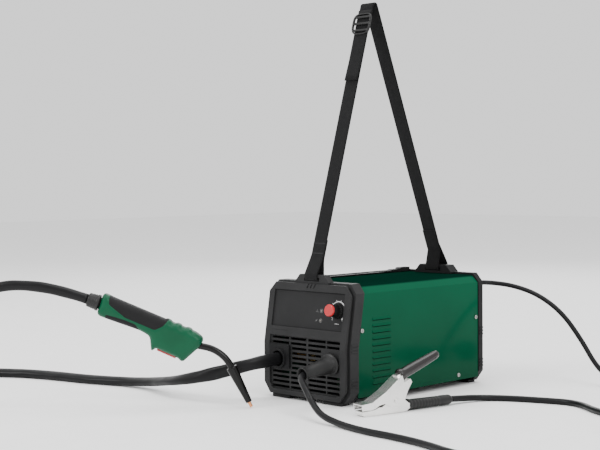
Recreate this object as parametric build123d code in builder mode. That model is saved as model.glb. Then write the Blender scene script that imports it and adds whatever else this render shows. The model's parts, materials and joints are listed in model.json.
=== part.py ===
from build123d import *
from math import cos, hypot, pi, radians, sin, tan
import os

# A small wire-feed welding machine: a housing with a side door, a carrying strap,
# a torch on its hose, an earth clamp on its lead, and a mains lead.
# Millimetres. The front faces -Y, +X is the machine's right-hand side, +Z is up.
# The origin is on the floor, below the middle of the housing.

os.makedirs("parts", exist_ok=True)

# ---- driving dimensions -------------------------------------------------------

LENGTH = 356                # housing, front face to rear face
WIDTH = 190                 # housing, over the two covers
HEIGHT = 194                # top edge of the covers above the floor
GROUND_GAP = 4              # underside of the covers above the floor
LOW_CUT = (13.5, 18)        # bottom corner chamfer, across and up
TOP_CUT = (13, 15)          # top corner chamfer, across and down
KINK = 91                   # height where the front face starts to lean back
LEAN = 17 / 103             # how far back the upper face leans, per mm of height
WALL = 3                    # plastic covers
SHEET = 1.2                 # steel sheet of casing, door and tray
FRONT_DEPTH = 29            # front cover, front to back
REAR_DEPTH = 14             # rear cover, front to back
SIDE_INSET = 1.5            # steel side panels behind the covers' sides
TOP_INSET = 3.5             # steel top below the covers' top edge
PANEL_LOW = 12              # bottom edge of the side panels above the floor
GAP = 0.3                   # clearance between neighbours that do not touch

STRAP_WIDTH = 29
STRAP_THICK = 1.5
LOOP_TOP = 208              # top of the webbing loops round the cover lugs
STRAP_FRONT_Y = -151
STRAP_REAR_Y = 169
STRAP_PEAK = (-14, 670)     # Y and Z of the corner between the strap's two runs

SPOOL_AT = (40, 104)        # Y and Z of the wire spool's axle
SPOOL_RADIUS = 50
DIVIDER_X = -12             # plate between the wire bay and the power electronics
FEED_Y = -85                # where the two feed rollers meet the wire
ROLL_RADIUS = 13

HOSE_AT = (-57, 66)         # X and Z where the torch hose leaves the front
EARTH_AT = (60.5, 67)       # X and Z where the earth lead leaves the front
MAINS_AT = (45, 172)        # X and Z where the mains lead leaves the rear
HOSE_D = 16
EARTH_D = 10
MAINS_D = 8.5

TORCH_TIP = (-21, -276, 0)  # where the contact tip touches the floor
TORCH_TURN = 45             # the torch's plane, degrees from +X
CLAMP_AT = (159.3, -203.5, 0)
CLAMP_TURN = 78             # the clamp's long axis, degrees from +X

FRONT = -LENGTH / 2
REAR = LENGTH / 2
WIRE_X, WIRE_Z = HOSE_AT


def save(piece, name):
    """Label a finished piece and write it as its own STEP file."""
    piece.part.label = name
    export_step(piece.part, f"parts/{name}.step")


def across(y):
    """The plane that faces the front at depth y, with X to the right and Z up."""
    return Plane.XZ.offset(-y)


def mirrored(points):
    """Points of a right-hand half outline followed by their mirror images."""
    return points + [(-x, z) for x, z in reversed(points)]


def body_outline(inset):
    """The covers' eight-sided outline, moved inwards."""
    half = WIDTH / 2 - inset
    low = GROUND_GAP + inset
    top = HEIGHT - inset
    return mirrored(
        [
            (half - LOW_CUT[0], low),
            (half, low + LOW_CUT[1]),
            (half, top - TOP_CUT[1]),
            (half - TOP_CUT[0], top),
        ]
    )


def lean(z):
    """How far the front face has moved back at height z."""
    return max(0, z - KINK) * LEAN


def front_slice(inset, start, stop):
    """The body outline, moved inwards, between two depths behind the leaning face."""
    high = HEIGHT + 20
    with BuildPart() as piece:
        with BuildSketch(Plane.YZ):
            Polygon(
                (FRONT + start, 0),
                (FRONT + start, KINK),
                (FRONT + start + lean(high), high),
                (FRONT + stop + lean(high), high),
                (FRONT + stop, KINK),
                (FRONT + stop, 0),
                align=None,
            )
        extrude(amount=WIDTH, both=True)
        with BuildSketch(Plane.XZ):
            Polygon(*body_outline(inset), align=None)
        extrude(amount=LENGTH, mode=Mode.INTERSECT)
    return piece.part


def rear_slice(inset, start, stop):
    """The body outline, moved inwards, between two depths ahead of the rear face."""
    with BuildPart() as piece:
        with BuildSketch(across(REAR - start)):
            Polygon(*body_outline(inset), align=None)
        extrude(amount=stop - start)
    return piece.part


def lug_outline(base, top, low):
    """A carrying-strap lug standing on a cover's top edge."""
    return mirrored([(base, low), (base, HEIGHT), (top, HEIGHT + 12)])


TONGUE = TOP_INSET + SHEET + GAP    # the covers' tongues stand inside the steel panels
TONGUE_REACH = 8

# ---- front cover --------------------------------------------------------------

FACE_INSET = 2.8            # the face ring stands in from the side band
GROOVE_INSET = 6
FACE_DEPTH = 4
GROOVE_DEPTH = 9
FRONT_WALL = 7
BORDER = 12.5               # width of the raised ring round the face
PANEL_TOP = 179
PANEL_BOTTOM = 119.5
PANEL_SINK = 4              # control plate's recess, square to the face
GRILLE_SINK = 1.5
ROW_PITCH = 8.1
ROW_TOP = 100.5
ROWS = 11
SLOT = 4.2
COLUMNS = [(-76, -36.5), (-33.5, 3), (7, 46.5), (49, 80)]
PLATE = (-79, -33, 50, 90)  # square plate round the hose: X from, to, Z from, to
BOSS = (40, 84, 45, 86)     # plain field round the earth lead
LUG = dict(base=38, top=27, low=HEIGHT - 6)
LUG_Y = (-158, -145)
LUG_SLOT = (17, 195.5, 201)  # half width, low and high edge
SLITS = (-4, 3.5, 11)        # short slanting drain slits in the top edge
FOOT = dict(x=58, y_front=-163, width=40, depth=20)


def inside(x0, x1, z, area):
    """Whether a slot from x0 to x1 at height z meets an area that stays closed."""
    return x0 < area[1] and x1 > area[0] and area[2] < z < area[3]


def slot_spans(z):
    """The open stretches of one grille row, with the two closed fields left out."""
    spans = []
    for x0, x1 in COLUMNS:
        if inside(x0, x1, z, PLATE):
            x0 = max(x0, PLATE[1] + 2)
        if inside(x0, x1, z, BOSS):
            x1 = min(x1, BOSS[0] - 4)
        if x1 - x0 > 8:
            spans.append((x0, x1))
    return spans


face_plane = Plane(
    origin=(0, FRONT, KINK),
    x_dir=(1, 0, 0),
    z_dir=(0, -1, LEAN),
)
slant = hypot(1, LEAN)      # length along the leaning face per mm of height


def on_face(x, z):
    """A height above the floor as a place on the leaning face's own plane."""
    return (x, (z - KINK) * slant)


with BuildPart() as front_cover:
    add(front_slice(FACE_INSET, 0, FACE_DEPTH))
    add(front_slice(GROOVE_INSET, FACE_DEPTH - 0.5, GROOVE_DEPTH + 0.5))
    add(front_slice(0, GROOVE_DEPTH, FRONT_DEPTH))
    with BuildSketch(across(LUG_Y[1])):
        Polygon(*lug_outline(**LUG), align=None)
    extrude(amount=LUG_Y[1] - LUG_Y[0])
    add(front_slice(GROOVE_INSET + WALL, FRONT_WALL, FRONT_DEPTH), mode=Mode.SUBTRACT)
    add(front_slice(WALL, GROOVE_DEPTH + WALL, FRONT_DEPTH), mode=Mode.SUBTRACT)
    # shoulder and tongue that the steel panels close over
    add(front_slice(WALL - 1, FRONT_DEPTH - WALL, FRONT_DEPTH))
    add(front_slice(TONGUE, FRONT_DEPTH - WALL, FRONT_DEPTH + TONGUE_REACH))
    add(front_slice(TONGUE + 2, GROOVE_DEPTH + WALL, FRONT_DEPTH + TONGUE_REACH),
        mode=Mode.SUBTRACT)
    # strap slot through the lug
    with BuildSketch(across(LUG_Y[0])):
        with Locations((0, (LUG_SLOT[1] + LUG_SLOT[2]) / 2)):
            Rectangle(2 * LUG_SLOT[0], LUG_SLOT[2] - LUG_SLOT[1])
    extrude(amount=40, both=True, mode=Mode.SUBTRACT)
    # recess for the control plate
    with BuildSketch(face_plane):
        half = WIDTH / 2 - FACE_INSET - BORDER
        low = on_face(0, PANEL_BOTTOM)[1]
        high = on_face(0, PANEL_TOP)[1]
        with Locations((0, (low + high) / 2)):
            Rectangle(2 * half, high - low)
    extrude(amount=-PANEL_SINK, mode=Mode.SUBTRACT)
    # shallow field of the grille
    with BuildSketch(across(FRONT)):
        field = WIDTH / 2 - FACE_INSET - BORDER
        Polygon(*mirrored([(field - 8, 15), (field, 24), (field, 104)]), align=None)
    extrude(amount=-GRILLE_SINK - lean(104), mode=Mode.SUBTRACT)
    for row in range(ROWS):
        height = ROW_TOP - row * ROW_PITCH
        for left, right in slot_spans(height):
            with BuildSketch(across(FRONT)):
                with Locations(((left + right) / 2, height)):
                    Rectangle(right - left, SLOT)
            extrude(amount=-12, mode=Mode.SUBTRACT)
    # seats of the hose gland and the earth lead's boot
    with BuildSketch(across(FRONT)):
        with Locations(HOSE_AT):
            Circle(17)
        with Locations(EARTH_AT):
            Circle(9)
    extrude(amount=-12, mode=Mode.SUBTRACT)
    # knob shaft and two lamp holes
    with BuildSketch(face_plane):
        with Locations(on_face(66, 151)):
            Circle(4.2)
        with Locations(on_face(30, 149.5), on_face(30, 134)):
            Circle(2.6)
    extrude(amount=-14, mode=Mode.SUBTRACT)
    with BuildSketch(face_plane):
        for x in SLITS:
            with Locations(on_face(x, 188)):
                SlotOverall(10, 2.2, rotation=64)
    extrude(amount=-1.4, mode=Mode.SUBTRACT)
    # feet, and the step up between them
    with Locations((FOOT["x"], FOOT["y_front"], 0), (-FOOT["x"], FOOT["y_front"], 0)):
        Box(FOOT["width"], FOOT["depth"], GROUND_GAP + 1,
            align=(Align.CENTER, Align.CENTER, Align.MIN))
    # grip ribs on both side bands
    for centre in (36.5, 92.5):
        for step in (-5.5, 0, 5.5):
            with Locations((WIDTH / 2, -158, centre + step), (-WIDTH / 2, -158, centre + step)):
                Box(2, 16, 2.6)
save(front_cover, "front_cover")


# ---- control plate, knob and lamps --------------------------------------------

plate_plane = face_plane.offset(-PANEL_SINK)
PLATE_THICK = 1.6
KNOB_AT = on_face(66, 151)
KNOB_RISE = 18              # height of the black grip under the red cap
LAMPS = [on_face(30, 149.5), on_face(30, 134)]

with BuildPart() as control_plate:
    with BuildSketch(plate_plane):
        half = WIDTH / 2 - FACE_INSET - BORDER - GAP
        low = on_face(0, PANEL_BOTTOM)[1] + GAP
        high = on_face(0, PANEL_TOP)[1] - GAP
        with Locations((0, (low + high) / 2)):
            Rectangle(2 * half, high - low)
        with Locations(KNOB_AT):
            Circle(4.2, mode=Mode.SUBTRACT)
        with Locations(*LAMPS):
            Circle(1.7, mode=Mode.SUBTRACT)
    extrude(amount=PLATE_THICK)
save(control_plate, "control_plate")

with BuildPart() as indicator_lamps:
    with BuildSketch(plate_plane.offset(-3)):
        with Locations(*LAMPS):
            Circle(1.5)
    extrude(amount=3 + PLATE_THICK + 0.5)
save(indicator_lamps, "indicator_lamps")

with BuildPart() as knob_body:
    with BuildSketch(plate_plane.offset(PLATE_THICK + GAP)):
        with Locations(KNOB_AT):
            Circle(12)
    extrude(amount=4)
    with BuildSketch(plate_plane.offset(PLATE_THICK + GAP + 4)):
        with Locations(KNOB_AT):
            Circle(9.6)
    extrude(amount=KNOB_RISE - 4, taper=2)
    with BuildSketch(plate_plane.offset(-14)):
        with Locations(KNOB_AT):
            Circle(3)
    extrude(amount=16)
save(knob_body, "knob_body")

with BuildPart() as knob_cap:
    with BuildSketch(plate_plane.offset(PLATE_THICK + GAP + KNOB_RISE)):
        with Locations(KNOB_AT):
            Circle(9.6)
    extrude(amount=4.5)
    chamfer(knob_cap.faces().sort_by(Axis.Y)[0].edges(), 1)
save(knob_cap, "knob_cap")


# ---- hose gland plate and earth boot on the front --------------------------------

with BuildPart() as hose_gland:
    with BuildSketch(across(FRONT + GRILLE_SINK)):
        with Locations(((PLATE[0] + PLATE[1]) / 2, (PLATE[2] + PLATE[3]) / 2)):
            RectangleRounded(PLATE[1] - PLATE[0], PLATE[3] - PLATE[2], 2)
        with Locations(HOSE_AT):
            Circle(13, mode=Mode.SUBTRACT)
    extrude(amount=2.5)
    with BuildSketch(across(FRONT + 8)):
        with Locations(HOSE_AT):
            Circle(16.7)
            Circle(13, mode=Mode.SUBTRACT)
    extrude(amount=12)
    with BuildSketch(across(FRONT + 12)):
        with Locations(HOSE_AT):
            Circle(19.5)
            Circle(HOSE_D / 2, mode=Mode.SUBTRACT)
    extrude(amount=4)
save(hose_gland, "hose_gland")

earth_axis = Plane(
    origin=(EARTH_AT[0], FRONT, EARTH_AT[1]),
    x_dir=(1, 0, 0),
    z_dir=(0, -1, -0.15),
)
BOOT_LENGTH = 66

with BuildPart() as earth_boot:
    with BuildSketch(across(FRONT + 10)):
        with Locations(EARTH_AT):
            Circle(8.7)
    extrude(amount=10)
    with BuildSketch(across(FRONT + GRILLE_SINK)):
        with Locations(EARTH_AT):
            Circle(18)
    extrude(amount=GRILLE_SINK + 4)
    with BuildSketch(earth_axis):
        Circle(15)
    extrude(amount=7)
    with BuildSketch(earth_axis.offset(6)):
        Circle(14)
    with BuildSketch(earth_axis.offset(BOOT_LENGTH - 12)):
        Circle(9.4)
    loft()
    with BuildSketch(earth_axis.offset(BOOT_LENGTH - 12)):
        Circle(9.4)
    with BuildSketch(earth_axis.offset(BOOT_LENGTH)):
        Circle(10.8)
    loft()
    with BuildSketch(earth_axis.offset(BOOT_LENGTH)):
        Circle(EARTH_D / 2)
    extrude(amount=-18, mode=Mode.SUBTRACT)
save(earth_boot, "earth_boot")


# ---- rear cover, switch, fan ------------------------------------------------------

REAR_LUG = dict(base=41, top=30, low=HEIGHT - 6)
REAR_LUG_Y = (154, REAR)
FAN_AT = (34, 82)
FAN_RADIUS = 38
SWITCH_AT = (-45, 150)

with BuildPart() as rear_cover:
    add(rear_slice(0, 0, REAR_DEPTH))
    with BuildSketch(across(REAR_LUG_Y[1])):
        Polygon(*lug_outline(**REAR_LUG), align=None)
    extrude(amount=REAR_LUG_Y[1] - REAR_LUG_Y[0])
    chamfer(rear_cover.faces().sort_by(Axis.Y)[-1].outer_wire().edges(), 2)
    add(rear_slice(WALL, WALL, 60), mode=Mode.SUBTRACT)
    add(rear_slice(WALL - 1, REAR_DEPTH - WALL, REAR_DEPTH))
    add(rear_slice(TONGUE, REAR_DEPTH - WALL, REAR_DEPTH + TONGUE_REACH))
    add(rear_slice(TONGUE + 2, WALL, REAR_DEPTH + TONGUE_REACH), mode=Mode.SUBTRACT)
    with BuildSketch(across(REAR_LUG_Y[0])):
        with Locations((0, (LUG_SLOT[1] + LUG_SLOT[2]) / 2)):
            Rectangle(2 * LUG_SLOT[0], LUG_SLOT[2] - LUG_SLOT[1])
    extrude(amount=40, both=True, mode=Mode.SUBTRACT)
    # fan grille: rings of curved slots
    with BuildSketch(across(REAR)):
        with Locations(FAN_AT):
            for ring in (33, 26, 19, 12):
                Circle(ring + 4.2)
                Circle(ring, mode=Mode.SUBTRACT)
            for turn in (45, 135):
                Rectangle(3.4, 90, rotation=turn, mode=Mode.SUBTRACT)
    extrude(amount=12, both=True, mode=Mode.SUBTRACT)
    # vent rows on the wire side
    with BuildSketch(across(REAR)):
        with GridLocations(0, ROW_PITCH, 1, 8):
            with Locations((-50, 72)):
                Rectangle(48, SLOT)
    extrude(amount=12, both=True, mode=Mode.SUBTRACT)
    with BuildSketch(across(REAR)):
        with Locations(SWITCH_AT):
            Rectangle(28.4, 21.4)
        with Locations(MAINS_AT):
            Circle(8.2)
    extrude(amount=12, both=True, mode=Mode.SUBTRACT)
    with Locations((FOOT["x"], REAR - 13, 0), (-FOOT["x"], REAR - 13, 0)):
        Box(FOOT["width"], 18, GROUND_GAP + 1,
            align=(Align.CENTER, Align.CENTER, Align.MIN))
    for centre in (36.5, 92.5):
        for step in (-5.5, 0, 5.5):
            with Locations((WIDTH / 2, REAR - 7, centre + step), (-WIDTH / 2, REAR - 7, centre + step)):
                Box(2, 10, 2.6)
save(rear_cover, "rear_cover")

with BuildPart() as switch_frame:
    with BuildSketch(across(REAR)):
        with Locations(SWITCH_AT):
            RectangleRounded(32, 25, 2)
            Rectangle(24, 15, mode=Mode.SUBTRACT)
    extrude(amount=-2)
    with BuildSketch(across(REAR)):
        with Locations(SWITCH_AT):
            Rectangle(28, 21)
            Rectangle(24, 15, mode=Mode.SUBTRACT)
    extrude(amount=20)
    with BuildSketch(across(REAR - 20)):
        with Locations(SWITCH_AT):
            Rectangle(28, 21)
    extrude(amount=3)
save(switch_frame, "switch_frame")

ROCK_HALF = 9               # degrees either side of level; it rests with its top edge out
with BuildPart() as power_rocker:
    with BuildSketch(Plane.YZ.offset(SWITCH_AT[0])):
        with Locations(Location((REAR - 8, SWITCH_AT[1]), -ROCK_HALF)):
            Circle(3)
            Polygon(
                (-1, -2), (5.5, -6.3), (10.5, -5.6), (8.4, 0), (10.5, 5.6), (5.5, 6.3), (-1, 2),
                align=None,
            )
    extrude(amount=11.6, both=True)
save(power_rocker, "power_rocker")

with BuildPart() as mains_gland:
    with BuildSketch(across(REAR - 8)):
        with Locations(MAINS_AT):
            Circle(8)
    extrude(amount=-8)
    with BuildSketch(across(REAR)):
        with Locations(MAINS_AT):
            RegularPolygon(12, 6)
    extrude(amount=-5)
    with BuildSketch(across(REAR + 5)):
        with Locations(MAINS_AT):
            Circle(8.5)
    with BuildSketch(across(REAR + 30)):
        with Locations(MAINS_AT):
            Circle(5.6)
    loft()
    with BuildSketch(across(REAR + 30)):
        with Locations(MAINS_AT):
            Circle(MAINS_D / 2)
    extrude(amount=20, mode=Mode.SUBTRACT)
save(mains_gland, "mains_gland")

FAN_Y = 148
with BuildPart() as fan_frame:
    with BuildSketch(across(FAN_Y + 22)):
        with Locations(FAN_AT):
            RectangleRounded(86, 86, 4)
            Circle(FAN_RADIUS + 1.5, mode=Mode.SUBTRACT)
    extrude(amount=22)
    with BuildSketch(across(FAN_Y + 4)):
        with Locations(FAN_AT):
            Circle(13)
            for turn in (20, 80, 140):
                Rectangle(4, 82, rotation=turn)
    extrude(amount=4)
save(fan_frame, "fan_frame")

BLADES = 7
with BuildPart() as fan_rotor:
    with BuildSketch(across(FAN_Y + 20)):
        with Locations(FAN_AT):
            Circle(13)
    extrude(amount=14)
    fan_centre = Vector(FAN_AT[0], FAN_Y + 13, FAN_AT[1])
    for blade in range(BLADES):
        turn = 360 / BLADES * blade
        outwards = Vector(cos(radians(turn)), 0, sin(radians(turn)))
        sideways = Vector(-sin(radians(turn)), 0, cos(radians(turn)))
        pitch = sideways * cos(radians(38)) + Vector(0, 1, 0) * sin(radians(38))
        with BuildSketch(Plane(fan_centre + outwards * 12, x_dir=pitch, z_dir=outwards)):
            Rectangle(16, 1.6)
        extrude(amount=FAN_RADIUS - 13)
save(fan_rotor, "fan_rotor")


# ---- base tray, divider, casing -------------------------------------------------

TRAY_Y = (-140, 155)
with BuildPart() as base_tray:
    with BuildSketch(across(TRAY_Y[1])):
        half = WIDTH / 2 - 8
        Polygon(
            *mirrored(
                [
                    (half - 10, 10),
                    (half, 20),
                    (half, 26),
                    (half - SHEET, 26),
                    (half - SHEET, 20.5),
                    (half - 10.5, 10 + SHEET),
                ]
            ),
            align=None,
        )
    extrude(amount=TRAY_Y[1] - TRAY_Y[0])
    # vent slots in the floor of the tray
    with BuildSketch(Plane.XY.offset(10)):
        with GridLocations(14, 0, 7, 1):
            with Locations((0, 20)):
                SlotOverall(70, 5, rotation=90)
    extrude(amount=4, mode=Mode.SUBTRACT)
save(base_tray, "base_tray")

half_side = WIDTH / 2 - SIDE_INSET
steel_top = HEIGHT - TOP_INSET
fold_x = half_side - 13.5
fold_z = steel_top - 12.5
CASING_EDGE = -70           # left edge of the fixed casing, on the top
LOUVRES = 11
LOUVRE_PITCH = 10.4
LOUVRE_TOP = 138
LOUVRE_Y = (-114, -70)
SCREWS = [(-139.8, 119.4), (157.4, 117.4), (-93.7, 20.9), (107.8, 20.9)]


def sheet_ends(thick):
    """Space between the two covers that the steel panels fill, as one solid."""
    with BuildPart() as space:
        with BuildSketch(Plane.YZ):
            high = HEIGHT + 20
            Polygon(
                (FRONT + FRONT_DEPTH + GAP, 0),
                (FRONT + FRONT_DEPTH + GAP, KINK),
                (FRONT + FRONT_DEPTH + GAP + lean(high), high),
                (REAR - REAR_DEPTH - GAP, high),
                (REAR - REAR_DEPTH - GAP, 0),
                align=None,
            )
        extrude(amount=thick, both=True)
    return space.part


with BuildPart() as side_casing:
    with BuildSketch(Plane.XZ.offset(-LENGTH / 2)):
        Polygon(
            (half_side, PANEL_LOW),
            (half_side, fold_z),
            (fold_x, steel_top),
            (CASING_EDGE, steel_top),
            (CASING_EDGE, steel_top - SHEET),
            (fold_x - 0.5, steel_top - SHEET),
            (half_side - SHEET, fold_z - 0.5),
            (half_side - SHEET, PANEL_LOW),
            align=None,
        )
    extrude(amount=LENGTH)
    add(sheet_ends(WIDTH), mode=Mode.INTERSECT)
    # louvres: pressed outwards, open below
    for row in range(LOUVRES):
        height = LOUVRE_TOP - row * LOUVRE_PITCH
        middle = (LOUVRE_Y[0] + LOUVRE_Y[1]) / 2
        reach = LOUVRE_Y[1] - LOUVRE_Y[0]
        with Locations((half_side - SHEET / 2, middle, height - 3)):
            Box(SHEET + 1, reach, 3.6, mode=Mode.SUBTRACT)
        with BuildSketch(Plane.XZ.offset(-middle)):
            Polygon(
                (half_side - SHEET, height + 0.8),
                (half_side, height + 0.8),
                (half_side + 1.3, height - 3.6),
                (half_side + 0.5, height - 3.6),
                (half_side - SHEET, height),
                align=None,
            )
        extrude(amount=reach / 2, both=True)
    with BuildSketch(Plane.YZ.offset(half_side + 1)):
        with Locations(*SCREWS):
            Circle(2.1)
    extrude(amount=-6, mode=Mode.SUBTRACT)
save(side_casing, "side_casing")

with BuildPart() as casing_screws:
    with BuildSketch(Plane.YZ.offset(half_side)):
        with Locations(*SCREWS):
            Circle(3.6)
    extrude(amount=1.8)
    fillet(casing_screws.faces().sort_by(Axis.X)[-4:].edges(), 0.8)
    with BuildSketch(Plane.YZ.offset(half_side - 3.5)):
        with Locations(*SCREWS):
            Circle(1.9)
    extrude(amount=3.5)
    with BuildSketch(Plane.YZ.offset(half_side + 1.8)):
        with Locations(*SCREWS):
            Rectangle(3.6, 0.9)
            Rectangle(0.9, 3.6)
    extrude(amount=-1, mode=Mode.SUBTRACT)
save(casing_screws, "casing_screws")

with BuildPart() as divider_plate:
    with BuildSketch(Plane.YZ.offset(DIVIDER_X - 0.75)):
        Polygon((-136, 12), (-136, 92), (-122, 186), (150, 186), (150, 12), align=None)
        with Locations((SPOOL_AT[0], SPOOL_AT[1])):
            Circle(5.2, mode=Mode.SUBTRACT)
        with Locations((FEED_Y, WIRE_Z - ROLL_RADIUS)):
            Circle(13.3, mode=Mode.SUBTRACT)
    extrude(amount=1.5)
save(divider_plate, "divider_plate")


# ---- door on the left side --------------------------------------------------------

HINGE_AT = (-78, steel_top + 1.8)
PIN_RADIUS = 1.2
KNUCKLE = 2.4
HINGE_Y = (-110, 140)
KNUCKLES = 10
LATCH_AT = (10, 34)         # Y and Z of the door's latch
step_y = (HINGE_Y[1] - HINGE_Y[0]) / KNUCKLES

# room at the leaning cover for the door's sloping top edge while it swings
with BuildPart() as swing_relief:
    add(front_slice(-2, 0, FRONT_DEPTH + 1.8))
    with Locations((0, 0, (fold_z - 3) / 2)):
        Box(3 * WIDTH, 3 * LENGTH, fold_z - 3, mode=Mode.SUBTRACT)

with BuildPart() as access_door:
    with BuildSketch(Plane.XZ.offset(-LENGTH / 2)):
        Polygon(
            (-half_side, PANEL_LOW),
            (-half_side, fold_z),
            (-fold_x, steel_top),
            (-fold_x + 0.5, steel_top - SHEET),
            (-half_side + SHEET, fold_z - 0.5),
            (-half_side + SHEET, PANEL_LOW + 6),
            (-half_side + 5, PANEL_LOW + 6),
            (-half_side + 5, PANEL_LOW + 6 - SHEET),
            (-half_side + SHEET, PANEL_LOW + 6 - SHEET),
            (-half_side + SHEET, PANEL_LOW),
            align=None,
        )
    extrude(amount=LENGTH)
    add(sheet_ends(WIDTH), mode=Mode.INTERSECT)
    # the folded lip stops short of the covers' tongues
    with Locations((-half_side + 7, -133, PANEL_LOW + 5), (-half_side + 7, 153, PANEL_LOW + 5)):
        Box(14 - 2 * SHEET, 26, 8, mode=Mode.SUBTRACT)
    add(swing_relief.part, mode=Mode.SUBTRACT)
    with BuildSketch(Plane.YZ.offset(-half_side)):
        with Locations(LATCH_AT):
            Circle(7.2)
    extrude(amount=SHEET + 1, mode=Mode.SUBTRACT)
    for row in range(8):
        with Locations((-half_side, -105, 130 - row * LOUVRE_PITCH)):
            Box(6, 44, 3.2, mode=Mode.SUBTRACT)
save(access_door, "access_door")

slope = Vector(-13.5, 0, -12.5).normalized()
outward = Vector(slope.Z, 0, -slope.X)
with BuildPart() as door_hinge_leaf:
    for count in range(0, KNUCKLES, 2):
        start = HINGE_Y[0] + count * step_y
        with BuildSketch(Plane.XZ.offset(-start - step_y + GAP)):
            with Locations(HINGE_AT):
                Circle(KNUCKLE)
            fold = Vector(-fold_x, 0, steel_top)
            corners = [
                fold + slope * 0.2 + outward * 0.02,
                fold + slope * 9 + outward * 0.02,
                fold + slope * 9 + outward * 1.2,
                Vector(HINGE_AT[0], 0, HINGE_AT[1]) + outward * KNUCKLE,
                Vector(HINGE_AT[0], 0, HINGE_AT[1]),
            ]
            Polygon(*[(corner.X, corner.Z) for corner in corners], align=None)
            with Locations(HINGE_AT):
                Circle(PIN_RADIUS + 0.05, mode=Mode.SUBTRACT)
        extrude(amount=step_y - 2 * GAP)
save(door_hinge_leaf, "door_hinge_leaf")

with BuildPart() as casing_hinge_leaf:
    for count in range(1, KNUCKLES, 2):
        start = HINGE_Y[0] + count * step_y
        with BuildSketch(Plane.XZ.offset(-start - step_y + GAP)):
            with Locations(HINGE_AT):
                Circle(KNUCKLE)
            with Locations((-70.5, steel_top + 0.62)):
                Rectangle(15, SHEET)
        extrude(amount=step_y - 2 * GAP)
    with BuildSketch(across(HINGE_Y[1] + 2)):
        with Locations(HINGE_AT):
            Circle(PIN_RADIUS)
    extrude(amount=HINGE_Y[1] - HINGE_Y[0] + 4)
save(casing_hinge_leaf, "casing_hinge_leaf")

# strip that hides the leaf, with three raised steps towards the rear
with BuildPart() as hinge_cover:
    with BuildSketch(Plane.YZ.offset(-72.5)):
        base = steel_top + 1.4
        Polygon(
            (-118, base),
            (-118, base + 1.4),
            (92, base + 1.4),
            (94, base + 2.6),
            (112, base + 2.6),
            (115, base + 4.4),
            (134, base + 4.4),
            (138, base + 7),
            (163, base + 7),
            (163, base),
            align=None,
        )
    extrude(amount=11)
save(hinge_cover, "hinge_cover")

with BuildPart() as door_latch:
    with BuildSketch(Plane.YZ.offset(-half_side - 0.3)):
        with Locations(LATCH_AT):
            Circle(10)
    extrude(amount=-1.2)
    with BuildSketch(Plane.YZ.offset(-half_side - 1.4)):
        with Locations(LATCH_AT):
            RectangleRounded(15, 4.4, 1.5)
    extrude(amount=-0.9)
    with BuildSketch(Plane.YZ.offset(-half_side - 0.4)):
        with Locations(LATCH_AT):
            Circle(6.9)
    extrude(amount=SHEET + 8.9)
    with BuildSketch(Plane.YZ.offset(-half_side + SHEET + 7)):
        with Locations((LATCH_AT[0] + 4, LATCH_AT[1])):
            Rectangle(19, 9)
    extrude(amount=1.8)
save(door_latch, "door_latch")

# ---- wire spool ---------------------------------------------------------------------

SPOOL_X = (-74, -30)        # outer and inner flange
spool_plane = Plane.YZ.offset(SPOOL_X[0])
spool_width = SPOOL_X[1] - SPOOL_X[0]

with BuildPart() as spool_post:
    with BuildSketch(Plane.YZ.offset(DIVIDER_X - 0.8)):
        with Locations(SPOOL_AT):
            Circle(16)
    extrude(amount=-6)
    with BuildSketch(Plane.YZ.offset(DIVIDER_X + 5)):
        with Locations(SPOOL_AT):
            Circle(5)
    extrude(amount=-76)
save(spool_post, "spool_post")

with BuildPart() as wire_spool:
    with BuildSketch(spool_plane):
        with Locations(SPOOL_AT):
            Circle(SPOOL_RADIUS)
    extrude(amount=3)
    with BuildSketch(Plane.YZ.offset(SPOOL_X[1] - 3)):
        with Locations(SPOOL_AT):
            Circle(SPOOL_RADIUS)
    extrude(amount=3)
    with BuildSketch(spool_plane):
        with Locations(SPOOL_AT):
            Circle(22)
    extrude(amount=spool_width)
    with BuildSketch(spool_plane):
        with Locations(SPOOL_AT):
            with PolarLocations(32, 6):
                Circle(6)
            Circle(18)
            Circle(9, mode=Mode.SUBTRACT)
            Rectangle(40, 3, mode=Mode.SUBTRACT)
            Rectangle(3, 40, mode=Mode.SUBTRACT)
    extrude(amount=3, mode=Mode.SUBTRACT)
    with BuildSketch(spool_plane):
        with Locations(SPOOL_AT):
            Circle(5.08)
    extrude(amount=spool_width, mode=Mode.SUBTRACT)
save(wire_spool, "wire_spool")

with BuildPart() as wire_winding:
    with BuildSketch(Plane.YZ.offset(SPOOL_X[0] + 3)):
        with Locations(SPOOL_AT):
            Circle(42)
            Circle(22, mode=Mode.SUBTRACT)
    extrude(amount=spool_width - 6)
save(wire_winding, "wire_winding")

with BuildPart() as spool_nut:
    with BuildSketch(Plane.YZ.offset(SPOOL_X[0] - 0.5)):
        with Locations(SPOOL_AT):
            RegularPolygon(11, 6)
            Circle(5, mode=Mode.SUBTRACT)
    extrude(amount=-9)
save(spool_nut, "spool_nut")

# ---- wire feeder --------------------------------------------------------------------

IDLE_RADIUS = 9
ARM_PIVOT = (FEED_Y + 24, WIRE_Z + 13)      # Y and Z
LEVER_PIVOT = (FEED_Y - 27, WIRE_Z - 12)
LEVER_X = WIRE_X - 13.5     # the tension rod passes beside the wire

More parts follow.
